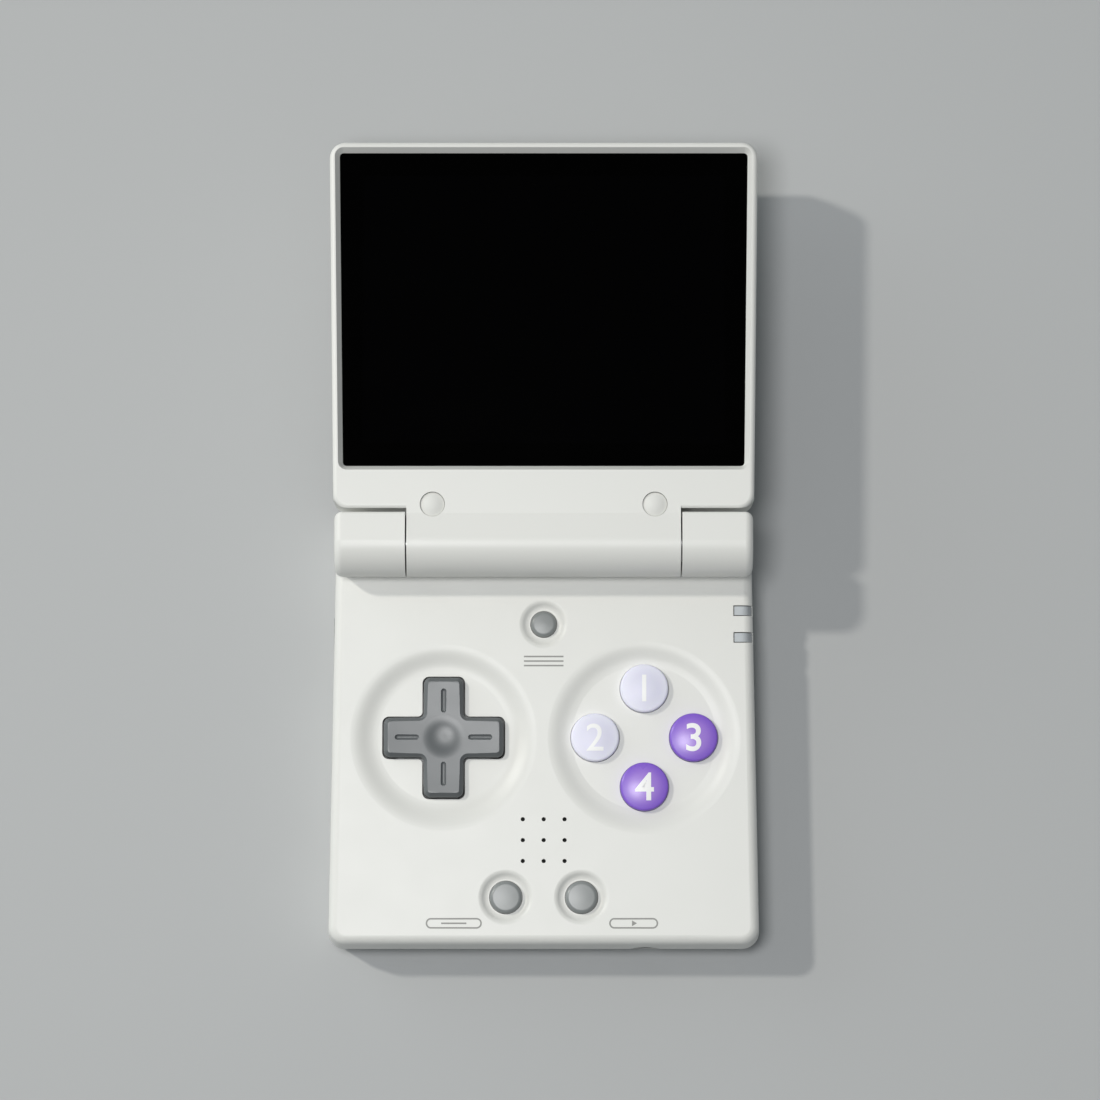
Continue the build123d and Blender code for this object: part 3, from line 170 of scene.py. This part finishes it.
def remap(tree, value, low, high):
    """Map a 0 to 1 value to a range whose ends may be sockets or numbers."""
    node = tree.nodes.new("ShaderNodeMapRange")
    link(tree, value, node.inputs["Value"])
    for name, end in (("To Min", low), ("To Max", high)):
        if isinstance(end, (int, float)):
            node.inputs[name].default_value = end
        else:
            link(tree, end, node.inputs[name])
    return node.outputs["Result"]


def noise(tree, coordinates, scale, detail=2.0, roughness=0.5):
    node = tree.nodes.new("ShaderNodeTexNoise")
    link(tree, coordinates, node.inputs["Vector"])
    node.inputs["Detail"].default_value = detail
    node.inputs["Roughness"].default_value = roughness
    if isinstance(scale, (int, float)):
        node.inputs["Scale"].default_value = scale
    else:
        link(tree, scale, node.inputs["Scale"])
    return node.outputs["Fac"]


def moulded_surface_group():
    """Spark-eroded grain of moulded plastic, with faint clouding and handling shine."""
    group, start, end = new_group(
        "moulded_surface",
        [
            ("Colour", "NodeSocketColor", (0.8, 0.8, 0.8, 1)),
            ("Clouding", "NodeSocketFloat", 0.02),
            ("Roughness", "NodeSocketFloat", 0.45),
            ("Shine", "NodeSocketFloat", 0.08),
            ("Grain Scale", "NodeSocketFloat", 9000.0),
        ],
        [
            ("Colour", "NodeSocketColor"),
            ("Roughness", "NodeSocketFloat"),
            ("Height", "NodeSocketFloat"),
        ],
    )
    place = object_place(group)
    clouds = noise(group, place, 45.0, 3.0)
    smudges = noise(group, place, 130.0, 4.0, 0.6)
    grain = noise(group, place, start.outputs["Grain Scale"], 1.0)
    speckle = math_node(group, "MULTIPLY_ADD", grain, 0.35)
    node = speckle.node
    link(group, math_node(group, "MULTIPLY", clouds, 0.65), node.inputs[2])
    darker = math_node(group, "SUBTRACT", 1.0, start.outputs["Clouding"])
    brighter = math_node(group, "ADD", 1.0, start.outputs["Clouding"])
    level = remap(group, speckle, darker, brighter)
    tint = group.nodes.new("ShaderNodeVectorMath")
    tint.operation = "SCALE"
    link(group, start.outputs["Colour"], tint.inputs[0])
    link(group, level, tint.inputs["Scale"])
    polished = math_node(group, "SUBTRACT", start.outputs["Roughness"], start.outputs["Shine"])
    matt = math_node(group, "ADD", start.outputs["Roughness"], start.outputs["Shine"])
    link(group, tint.outputs["Vector"], end.inputs["Colour"])
    link(group, remap(group, smudges, polished, matt), end.inputs["Roughness"])
    link(group, grain, end.inputs["Height"])
    return group


def group_called(name, maker):
    return bpy.data.node_groups.get(name) or maker()


# ------------------------------------------------------------------ materials

def new_material(name):
    """A material with only a Principled shader; returns it with its tree and shader."""
    material = bpy.data.materials.new(name)
    material.use_nodes = True
    tree = material.node_tree
    tree.nodes.clear()
    output = tree.nodes.new("ShaderNodeOutputMaterial")
    shader = tree.nodes.new("ShaderNodeBsdfPrincipled")
    link(tree, shader.outputs["BSDF"], output.inputs["Surface"])
    return material, tree, shader


def moulded_plastic(name, tone, roughness, clouding, shine, grain=9000.0, bump=0.05):
    """Moulded plastic with its grain, clouding and handling shine."""
    material, tree, shader = new_material(name)
    surface = tree.nodes.new("ShaderNodeGroup")
    surface.name = "moulded_surface"
    surface.node_tree = group_called("moulded_surface", moulded_surface_group)
    surface.inputs["Colour"].default_value = (*tone, 1)
    surface.inputs["Clouding"].default_value = clouding
    surface.inputs["Roughness"].default_value = roughness
    surface.inputs["Shine"].default_value = shine
    surface.inputs["Grain Scale"].default_value = grain
    relief = tree.nodes.new("ShaderNodeBump")
    relief.inputs["Strength"].default_value = bump
    relief.inputs["Distance"].default_value = 0.02 * MM
    link(tree, surface.outputs["Colour"], shader.inputs["Base Color"])
    link(tree, surface.outputs["Roughness"], shader.inputs["Roughness"])
    link(tree, surface.outputs["Height"], relief.inputs["Height"])
    link(tree, relief.outputs["Normal"], shader.inputs["Normal"])
    return material


def key_plastic(name, tone, rim_painted_tone, centre, radius, roughness):
    """Glossy translucent plastic of a round key, with painted light in its colour towards the rim: lighter
    rims on the pale keys against shade, and on the violet keys a deeper rim, partly for the plastic's depth,
    round a painted reflection in the lighter middle.
    """
    material = moulded_plastic(name, tone, roughness, 0.006, 0.03, bump=0.01)
    tree = material.node_tree
    shader = tree.nodes["Principled BSDF"]
    place = object_place(tree)
    across = tree.nodes.new("ShaderNodeVectorMath")
    across.operation = "SUBTRACT"
    link(tree, place, across.inputs[0])
    across.inputs[1].default_value = centre
    flat = tree.nodes.new("ShaderNodeVectorMath")
    flat.operation = "MULTIPLY"
    link(tree, across.outputs["Vector"], flat.inputs[0])
    flat.inputs[1].default_value = (1, 1, 0)
    reach = tree.nodes.new("ShaderNodeVectorMath")
    reach.operation = "LENGTH"
    link(tree, flat.outputs["Vector"], reach.inputs[0])
    # Painted light: past 0.45 of the radius the key's colour shifts to its rim tone, lighter on the pale
    # keys against the shade on the dome's rim, deeper on the violet keys beside their painted reflection.
    depth = tree.nodes.new("ShaderNodeMapRange")
    depth.interpolation_type = "SMOOTHSTEP"
    depth.inputs["From Min"].default_value = 0.45 * radius
    depth.inputs["From Max"].default_value = radius
    link(tree, reach.outputs["Value"], depth.inputs["Value"])
    rim_paint_mix = tree.nodes.new("ShaderNodeMix")
    rim_paint_mix.data_type = "RGBA"
    rim_paint_mix.inputs["A"].default_value = (*tone, 1)
    rim_paint_mix.inputs["B"].default_value = (*rim_painted_tone, 1)
    link(tree, depth.outputs["Result"], rim_paint_mix.inputs["Factor"])
    link(tree, rim_paint_mix.outputs["Result"], tree.nodes["moulded_surface"].inputs["Colour"])
    shader.inputs["Subsurface Weight"].default_value = 0.15
    shader.inputs["Subsurface Radius"].default_value = (0.0006, 0.0005, 0.0008)
    return material


def brushed_metal(name, tone):
    """Metal with a coarser grain than the plastics."""
    material = moulded_plastic(name, tone, 0.32, 0.05, 0.1, grain=4000.0, bump=0.1)
    material.node_tree.nodes["Principled BSDF"].inputs["Metallic"].default_value = 1.0
    return material


def printed_glass(name, picture_low, picture_high):
    """Cover glass printed black round a dark picture area, with faint wiping marks."""
    material, tree, shader = new_material(name)
    place = object_place(tree)
    parts = split(tree, place)
    inside = None
    for axis in (0, 1):
        above = math_node(tree, "GREATER_THAN", parts[axis], picture_low[axis])
        below = math_node(tree, "LESS_THAN", parts[axis], picture_high[axis])
        both = math_node(tree, "MULTIPLY", above, below)
        inside = both if inside is None else math_node(tree, "MULTIPLY", inside, both)
    tone = tree.nodes.new("ShaderNodeMix")
    tone.data_type = "RGBA"
    tone.inputs["A"].default_value = (0.0006, 0.0006, 0.0006, 1)
    tone.inputs["B"].default_value = (0.0008, 0.0008, 0.0009, 1)
    link(tree, inside, tone.inputs["Factor"])
    link(tree, tone.outputs["Result"], shader.inputs["Base Color"])
    marks = noise(tree, place, 60.0, 3.0, 0.55)
    link(tree, remap(tree, marks, 0.03, 0.07), shader.inputs["Roughness"])
    shader.inputs["Specular IOR Level"].default_value = 0.4
    return material


def frosted_window(name, tone, inner_end, outer_end):
    """Tinted plastic over a lamp, with random haze; its inner end over the lamp is painted lighter as a
    painted highlight, fading to a darker tone towards the casing's side.
    """
    material, tree, shader = new_material(name)
    place = object_place(tree)
    highlight_falloff = tree.nodes.new("ShaderNodeMapRange")
    highlight_falloff.interpolation_type = "SMOOTHSTEP"
    link(tree, split(tree, place)["X"], highlight_falloff.inputs["Value"])
    highlight_falloff.inputs["From Min"].default_value = inner_end
    highlight_falloff.inputs["From Max"].default_value = outer_end
    haze = noise(tree, place, 700.0, 2.0)
    haze_and_painted_highlight = math_node(tree, "MULTIPLY_ADD", haze, 0.35)
    link(tree, highlight_falloff.outputs["Result"], haze_and_painted_highlight.node.inputs[2])
    # Painted highlight: the window's inner end is painted 1.45 times lighter than its tone, fading to 0.85
    # times towards the casing's side.
    highlight_tone_mix = tree.nodes.new("ShaderNodeMix")
    highlight_tone_mix.data_type = "RGBA"
    highlight_tone_mix.clamp_factor = True
    highlight_tone_mix.inputs["A"].default_value = (*[min(1.0, 1.45 * part) for part in tone], 1)
    highlight_tone_mix.inputs["B"].default_value = (*[0.85 * part for part in tone], 1)
    link(tree, haze_and_painted_highlight, highlight_tone_mix.inputs["Factor"])
    link(tree, highlight_tone_mix.outputs["Result"], shader.inputs["Base Color"])
    link(tree, remap(tree, haze, 0.12, 0.24), shader.inputs["Roughness"])
    shader.inputs["Subsurface Weight"].default_value = 0.2
    shader.inputs["Subsurface Radius"].default_value = (0.0006, 0.0006, 0.0007)
    shader.inputs["Coat Weight"].default_value = 0.6
    return material


def woven_mesh(name):
    """Black gauze behind the speaker holes."""
    material, tree, shader = new_material(name)
    place = object_place(tree)
    threads = tree.nodes.new("ShaderNodeTexWave")
    threads.inputs["Scale"].default_value = 1800.0
    link(tree, place, threads.inputs["Vector"])
    link(tree, remap(tree, threads.outputs["Fac"], 0.6, 0.9), shader.inputs["Roughness"])
    shader.inputs["Base Color"].default_value = (0.006, 0.006, 0.006, 1)
    return material


def solder_mask(name):
    """Green board with faint copper tracks under its mask."""
    material, tree, shader = new_material(name)
    place = object_place(tree)
    tracks = tree.nodes.new("ShaderNodeTexBrick")
    tracks.inputs["Scale"].default_value = 420.0
    tracks.inputs["Color1"].default_value = (0.012, 0.075, 0.04, 1)
    tracks.inputs["Color2"].default_value = (0.015, 0.09, 0.048, 1)
    tracks.inputs["Mortar"].default_value = (0.03, 0.14, 0.07, 1)
    link(tree, place, tracks.inputs["Vector"])
    link(tree, tracks.outputs["Color"], shader.inputs["Base Color"])
    link(tree, remap(tree, tracks.outputs["Fac"], 0.3, 0.42), shader.inputs["Roughness"])
    return material


def dress(material, *nodes):
    """Give CAD nodes a material in every slot."""
    for name in nodes:
        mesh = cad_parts[name].data
        if not mesh.materials:
            mesh.materials.append(material)
        for index in range(len(mesh.materials)):
            mesh.materials[index] = material


# ------------------------------------------------------------------ mesh helpers

def finish_piece(name, mesh_maker, material, body):
    """Turn a bmesh into a piece at the origin that rides on a body."""
    mesh = bpy.data.meshes.new(name)
    mesh_maker.normal_update()
    mesh_maker.to_mesh(mesh)
    mesh_maker.free()
    mesh.materials.append(material)
    piece = bpy.data.objects.new(name, mesh)
    bpy.context.scene.collection.objects.link(piece)
    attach(piece, body)
    return piece


def key_centre(name):
    low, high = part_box(name)
    return Vector(((low.x + high.x) / 2, (low.y + high.y) / 2, high.z))


def add_bar(build, centre, size, depth):
    """A flat bar on its middle, standing on z = 0."""
    made = bmesh.ops.create_cube(build, size=1.0)
    bmesh.ops.scale(build, verts=made["verts"], vec=(*size, depth))
    bmesh.ops.translate(build, verts=made["verts"], vec=(*centre, depth / 2))


def add_triangle(build, height, depth):
    """A flat triangle that points to the right."""
    made = bmesh.ops.create_cone(
        build, cap_ends=True, segments=3, radius1=height * 0.62, radius2=height * 0.62, depth=depth
    )
    bmesh.ops.rotate(build, verts=made["verts"], matrix=Matrix.Rotation(-math.pi / 2, 3, "Z"))
    bmesh.ops.translate(build, verts=made["verts"], vec=(0, 0, depth / 2))


def lozenge(width, height, stroke, depth):
    """An outlined bar with round ends, as a closed bmesh standing on z = 0."""
    build = bmesh.new()
    edges = set()
    for inset in (0.0, stroke):
        made = bmesh.ops.create_circle(build, segments=32, radius=height / 2 - inset)
        for vert in made["verts"]:
            vert.co.x += math.copysign((width - height) / 2, vert.co.x + NUDGE)
            edges.update(vert.link_edges)
    ring = bmesh.ops.bridge_loops(build, edges=list(edges))["faces"]
    lifted = bmesh.ops.extrude_face_region(build, geom=ring)
    top = [part for part in lifted["geom"] if isinstance(part, bmesh.types.BMVert)]
    bmesh.ops.translate(build, verts=top, vec=(0, 0, depth))
    bmesh.ops.recalc_face_normals(build, faces=build.faces)
    return build


def digit_mesh(character, height, depth, boldness):
    """A digit as a closed bmesh, standing on z = 0 and centred on the origin."""
    text = bpy.data.curves.new("digit_outline", "FONT")
    text.body = character
    text.size = height * FONT_SIZE_PER_HEIGHT
    text.offset = boldness
    text.extrude = depth / 2
    text.resolution_u = 8
    holder = bpy.data.objects.new("digit_outline", text)
    mesh = bpy.data.meshes.new_from_object(holder)
    build = bmesh.new()
    build.from_mesh(mesh)
    bpy.data.objects.remove(holder)
    bpy.data.curves.remove(text)
    bpy.data.meshes.remove(mesh)
    bmesh.ops.remove_doubles(build, verts=build.verts, dist=MERGE_DISTANCE)
    xs = [vert.co.x for vert in build.verts]
    ys = [vert.co.y for vert in build.verts]
    middle = Vector(((min(xs) + max(xs)) / 2, (min(ys) + max(ys)) / 2, -depth / 2))
    bmesh.ops.translate(build, verts=build.verts, vec=-middle)
    return build


def slice_both_ways(build, half, step):
    """Cut a flat mesh along a square grid, so that it can follow a curved face."""
    count = int(half / step)
    for axis in ((1, 0, 0), (0, 1, 0)):
        for index in range(-count, count + 1):
            point = Vector(axis) * (index * step)
            geometry = build.verts[:] + build.edges[:] + build.faces[:]
            bmesh.ops.bisect_plane(build, geom=geometry, dist=1e-7, plane_co=point, plane_no=axis)


# ------------------------------------------------------------------ operators

class ConsoleOperator(bpy.types.Operator):
    bl_options = {"REGISTER", "UNDO"}

    def colours(self, context):
        return context.scene.console_colours

    def sizes(self, context):
        return context.scene.console_sizes


class CONSOLE_OT_casing(ConsoleOperator):
    """Give the four shells their satin light grey plastic, and their screws, covers and sockets theirs"""
    bl_idname = "console.casing"
    bl_label = "Finish the casing"

    def execute(self, context):
        tones = self.colours(context)
        casing = moulded_plastic("casing_plastic", tones.casing, 0.39, 0.010, 0.04)
        dress(casing, *SHELLS)
        cover_tone = [0.98 * part for part in tones.casing]
        covers = moulded_plastic("cover_rubber", cover_tone, 0.6, 0.012, 0.04)
        dress(covers, "screw_cover_left", "screw_cover_right")
        steel = brushed_metal("socket_steel", (0.55, 0.55, 0.56))
        dress(
            steel, "base_screws", "lid_screws", "usb_port", "hdmi_port", "card_socket_rear",
            "card_socket_front", "hinge_pin", "hinge_sleeve", "display_tray", "lid_magnet",
            "dpad_rocker", "wireless_module", "vibration_motor",
        )
        dark = moulded_plastic("black_moulding", (0.015, 0.015, 0.016), 0.4, 0.05, 0.06)
        dress(
            dark, "headphone_jack", "processor", "memory_chip", "power_chip", "lid_sensor",
            "hinge_friction_unit", "loudspeaker", "shoulder_switches", "side_switches",
            "memory_card", "battery_pack",
        )
        dress(woven_mesh("speaker_gauze"), "speaker_mesh")
        dress(solder_mask("board_mask"), "main_board")
        silicone = moulded_plastic("contact_silicone", (0.45, 0.46, 0.46), 0.5, 0.02, 0.05)
        dress(
            silicone, "dpad_membrane", "face_button_membrane", "menu_membrane",
            "select_start_membrane", "glass_gasket",
        )
        film = moulded_plastic("cable_film", (0.42, 0.2, 0.05), 0.3, 0.03, 0.05)
        dress(film, "screen_cable_roll", "screen_cable_riser")
        lamp = moulded_plastic("lamp_body", (0.8, 0.76, 0.5), 0.3, 0.02, 0.05)
        dress(lamp, "status_lamps")
        return {"FINISHED"}


class CONSOLE_OT_keys(ConsoleOperator):
    """Give every key its plastic"""
    bl_idname = "console.keys"
    bl_label = "Finish the keys"

    def execute(self, context):
        tones = self.colours(context)
        dark = moulded_plastic("direction_key_plastic", tones.direction_key, 0.32, 0.02, 0.03)
        dress(dark, "dpad")
        grey = moulded_plastic("small_key_plastic", tones.small_key, 0.30, 0.02, 0.03)
        dress(grey, *SMALL_KEYS)
        for index, key in enumerate(FACE_KEYS):
            low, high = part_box(key)
            if index < 2:
                tone, rim, roughness = tones.pale_key, tones.pale_rim, 0.40
            else:
                tone, rim, roughness = tones.violet_key, tones.violet_rim, 0.28
            material = key_plastic(f"{key}_plastic", tone, rim, (low + high) / 2, KEY_RADIUS, roughness)
            dress(material, key)
        side = moulded_plastic("side_key_plastic", tones.small_key, 0.4, 0.02, 0.05)
        dress(
            side, "shoulder_key_left_outer", "shoulder_key_left_inner", "shoulder_key_right_inner",
            "shoulder_key_right_outer", "volume_rocker", "power_button", "reset_button",
        )
        return {"FINISHED"}


class CONSOLE_OT_screen(ConsoleOperator):
    """Give the cover glass its black print, and the display under it its dark film"""
    bl_idname = "console.screen"
    bl_label = "Finish the screen"
    picture_width: length("Picture width", "Width of the picture area under the glass", 71.1 * MM)
    picture_height: length("Picture height", "Height of the picture area under the glass", 53.3 * MM)

    def execute(self, context):
        low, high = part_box("cover_glass")
        middle = (low + high) / 2
        half = Vector((self.picture_width / 2, self.picture_height / 2, 0))
        dress(printed_glass("printed_glass", middle - half, middle + half), "cover_glass")
        film = moulded_plastic("display_film", (0.01, 0.01, 0.012), 0.2, 0.05, 0.03)
        dress(film, "display_panel", "backlight_unit")
        return {"FINISHED"}


class CONSOLE_OT_windows(ConsoleOperator):
    """Give the two status windows their frosted plastic"""
    bl_idname = "console.windows"
    bl_label = "Finish the status windows"

    def execute(self, context):
        low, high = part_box("light_pipe_rear")
        tone = self.colours(context).window
        window = frosted_window("status_window_painted_highlight", tone, low.x + WINDOW_HIGHLIGHT_END, high.x)
        dress(window, "light_pipe_rear", "light_pipe_front")
        return {"FINISHED"}


class CONSOLE_OT_digits(ConsoleOperator):
    """Ink a plain digit into the domed top of each face key"""
    bl_idname = "console.digits"
    bl_label = "Add the key digits"

    def execute(self, context):
        sizes = self.sizes(context)
        tone = self.colours(context).digit
        ink = moulded_plastic("digit_ink", tone, 0.4, 0.004, 0.03, bump=0.01)
        dome = (KEY_RADIUS ** 2 + KEY_CROWN ** 2) / (2 * KEY_CROWN)
        for number, key in enumerate(FACE_KEYS, start=1):
            boldness = PALE_BOLDNESS if number < 3 else VIOLET_BOLDNESS
            build = digit_mesh(str(number), sizes.digit_height, sizes.digit_depth, boldness)
            slice_both_ways(build, sizes.digit_height, DIGIT_CUT)
            centre = key_centre(key)
            for vert in build.verts:
                across = vert.co.xy.length
                drop = dome - math.sqrt(dome ** 2 - across ** 2)
                vert.co.z += centre.z - drop - sizes.digit_depth * 0.5
                vert.co.xy += centre.xy
            finish_piece(f"{key}_digit", build, ink, key)
        return {"FINISHED"}


class CONSOLE_OT_legends(ConsoleOperator):
    """Print a plain sign beside each small key: bars, and lozenges with a bar and a triangle"""
    bl_idname = "console.legends"
    bl_label = "Add the legends"
    menu_width: length("Menu sign", "Width of the menu key's three bars", 7.8 * MM)
    select_width: length("Select sign", "Width of the select key's lozenge", 11.0 * MM)
    start_width: length("Start sign", "Width of the start key's lozenge", 9.6 * MM)

    def execute(self, context):
        sizes = self.sizes(context)
        height, stroke, depth = sizes.legend_height, sizes.legend_stroke, sizes.legend_depth
        tone = self.colours(context).legend
        ink = moulded_plastic("legend_ink", tone, 0.5, 0.03, 0.04, bump=0.02)
        menu = key_centre("menu_button")
        select = key_centre("select_button")
        start = key_centre("start_button")

        build = bmesh.new()
        for row in (-1, 0, 1):
            add_bar(build, (0, row * (height - stroke) / 2), (self.menu_width, stroke), depth)
        self.print_on_base("menu_legend", build, menu.x, menu.y - MENU_SIGN_DROP, ink)

        build = lozenge(self.select_width, height, stroke, depth)
        add_bar(build, (0, 0), (self.select_width * 0.45, stroke), depth)
        self.print_on_base(
            "select_legend", build, select.x - LOWER_SIGN_SHIFT, select.y - LOWER_SIGN_DROP, ink
        )

        build = lozenge(self.start_width, height, stroke, depth)
        add_triangle(build, height * 0.5, depth)
        self.print_on_base(
            "start_legend", build, start.x + LOWER_SIGN_SHIFT, start.y - LOWER_SIGN_DROP, ink
        )
        return {"FINISHED"}

    def print_on_base(self, name, build, x, y, ink):
        bmesh.ops.translate(build, verts=build.verts, vec=(x, y, FACE_HEIGHT))
        finish_piece(name, build, ink, "base")


class CONSOLE_OT_stage(ConsoleOperator):
    """Set the pale floor, the soft lights and the camera over the console"""
    bl_idname = "console.stage"
    bl_label = "Set the stage"

    def execute(self, context):
        scene = context.scene
        scene.view_settings.view_transform = "Standard"
        self.floor(context)
        self.world(context)
        self.lights(context)
        self.camera(context)
        return {"FINISHED"}

    def floor(self, context):
        build = bmesh.new()
        bmesh.ops.create_grid(build, x_segments=1, y_segments=1, size=FLOOR_HALF_WIDTH)
        mesh = bpy.data.meshes.new("floor")
        build.to_mesh(mesh)
        build.free()
        floor = bpy.data.objects.new("floor", mesh)
        context.scene.collection.objects.link(floor)
        paint = moulded_plastic("floor_paint", self.colours(context).floor, 0.8, 0.0, 0.0, bump=0.0)
        mesh.materials.append(paint)

    def world(self, context):
        """A weak light from all round, a low bright patch on the left, and a flag for the glass."""
        world = bpy.data.worlds.new("studio")
        context.scene.world = world
        world.use_nodes = True
        tree = world.node_tree
        background = tree.nodes["Background"]
        direction = tree.nodes.new("ShaderNodeTexCoord").outputs["Generated"]
        sky = self.towards(tree, direction, SKY_AT, SKY_EDGES, SKY_LEVELS)
        patch = self.towards(tree, direction, PATCH_AT, PATCH_EDGES, PATCH_LEVELS)
        flag = self.towards(tree, direction, FLAG_AT, FLAG_EDGES, FLAG_LEVELS)
        both = math_node(tree, "ADD", sky, patch)
        link(tree, math_node(tree, "MULTIPLY", both, flag), background.inputs["Strength"])
        background.inputs["Color"].default_value = WORLD_COLOUR

    def towards(self, tree, direction, aim, edges, levels):
        """A level that changes smoothly with the angle from a direction; edges are cosines."""
        near = tree.nodes.new("ShaderNodeVectorMath")
        near.operation = "DOT_PRODUCT"
        link(tree, direction, near.inputs[0])
        near.inputs[1].default_value = Vector(aim).normalized()
        level = tree.nodes.new("ShaderNodeMapRange")
        level.interpolation_type = "SMOOTHSTEP"
        level.inputs["From Min"].default_value, level.inputs["From Max"].default_value = edges
        level.inputs["To Min"].default_value, level.inputs["To Max"].default_value = levels
        link(tree, near.outputs["Value"], level.inputs["Value"])
        return level.outputs["Result"]

    def lights(self, context):
        """A round softbox beside the camera, and a small slanting light from the left for shadows."""
        overhead = (OVERHEAD_PLACE, OVERHEAD_RADIUS, OVERHEAD_POWER, OVERHEAD_TINT)
        slant = (SLANT_PLACE, SLANT_RADIUS, SLANT_POWER, SLANT_TINT)
        self.disc_light(context, "overhead_light", *overhead)
        self.disc_light(context, "slanting_light", *slant)

    def disc_light(self, context, name, place, radius, power, tint):
        lamp = bpy.data.lights.new(name, "AREA")
        lamp.shape = "DISK"
        lamp.size = 2 * radius
        lamp.energy = power
        lamp.color = tint
        holder = bpy.data.objects.new(name, lamp)
        holder.location = place
        holder.rotation_euler = (-Vector(place)).to_track_quat("-Z", "Y").to_euler()
        context.scene.collection.objects.link(holder)

    def camera(self, context):
        data = bpy.data.cameras.new("camera")
        data.sensor_width = CAMERA_SENSOR
        data.lens = CAMERA_LENS
        holder = bpy.data.objects.new("camera", data)
        holder.location = CAMERA_PLACE
        holder.rotation_euler = (math.radians(CAMERA_TILT), 0, 0)
        context.scene.collection.objects.link(holder)
        context.scene.camera = holder


OPERATORS = (
    CONSOLE_OT_casing,
    CONSOLE_OT_keys,
    CONSOLE_OT_screen,
    CONSOLE_OT_windows,
    CONSOLE_OT_digits,
    CONSOLE_OT_legends,
    CONSOLE_OT_stage,
)


class CONSOLE_PT_panel(bpy.types.Panel):
    """Lists the console's colours, sizes and steps"""
    bl_idname = "CONSOLE_PT_panel"
    bl_label = "Game console"
    bl_space_type = "VIEW_3D"
    bl_region_type = "UI"
    bl_category = "Console"

    def draw(self, context):
        for settings in (context.scene.console_colours, context.scene.console_sizes):
            column = self.layout.column()
            for name in settings.bl_rna.properties.keys():
                if name not in ("rna_type", "name"):
                    column.prop(settings, name)
        for operator in OPERATORS:
            self.layout.operator(operator.bl_idname)


CLASSES = (ConsoleColours, ConsoleSizes, *OPERATORS, CONSOLE_PT_panel)


def register():
    for item in CLASSES:
        bpy.utils.register_class(item)
    bpy.types.Scene.console_colours = PointerProperty(type=ConsoleColours)
    bpy.types.Scene.console_sizes = PointerProperty(type=ConsoleSizes)


def unregister():
    del bpy.types.Scene.console_sizes
    del bpy.types.Scene.console_colours
    for item in reversed(CLASSES):
        bpy.utils.unregister_class(item)


def main():
    register()
    for operator in OPERATORS:
        category, step = operator.bl_idname.split(".")
        getattr(getattr(bpy.ops, category), step)()


if __name__ == "__main__":
    main()
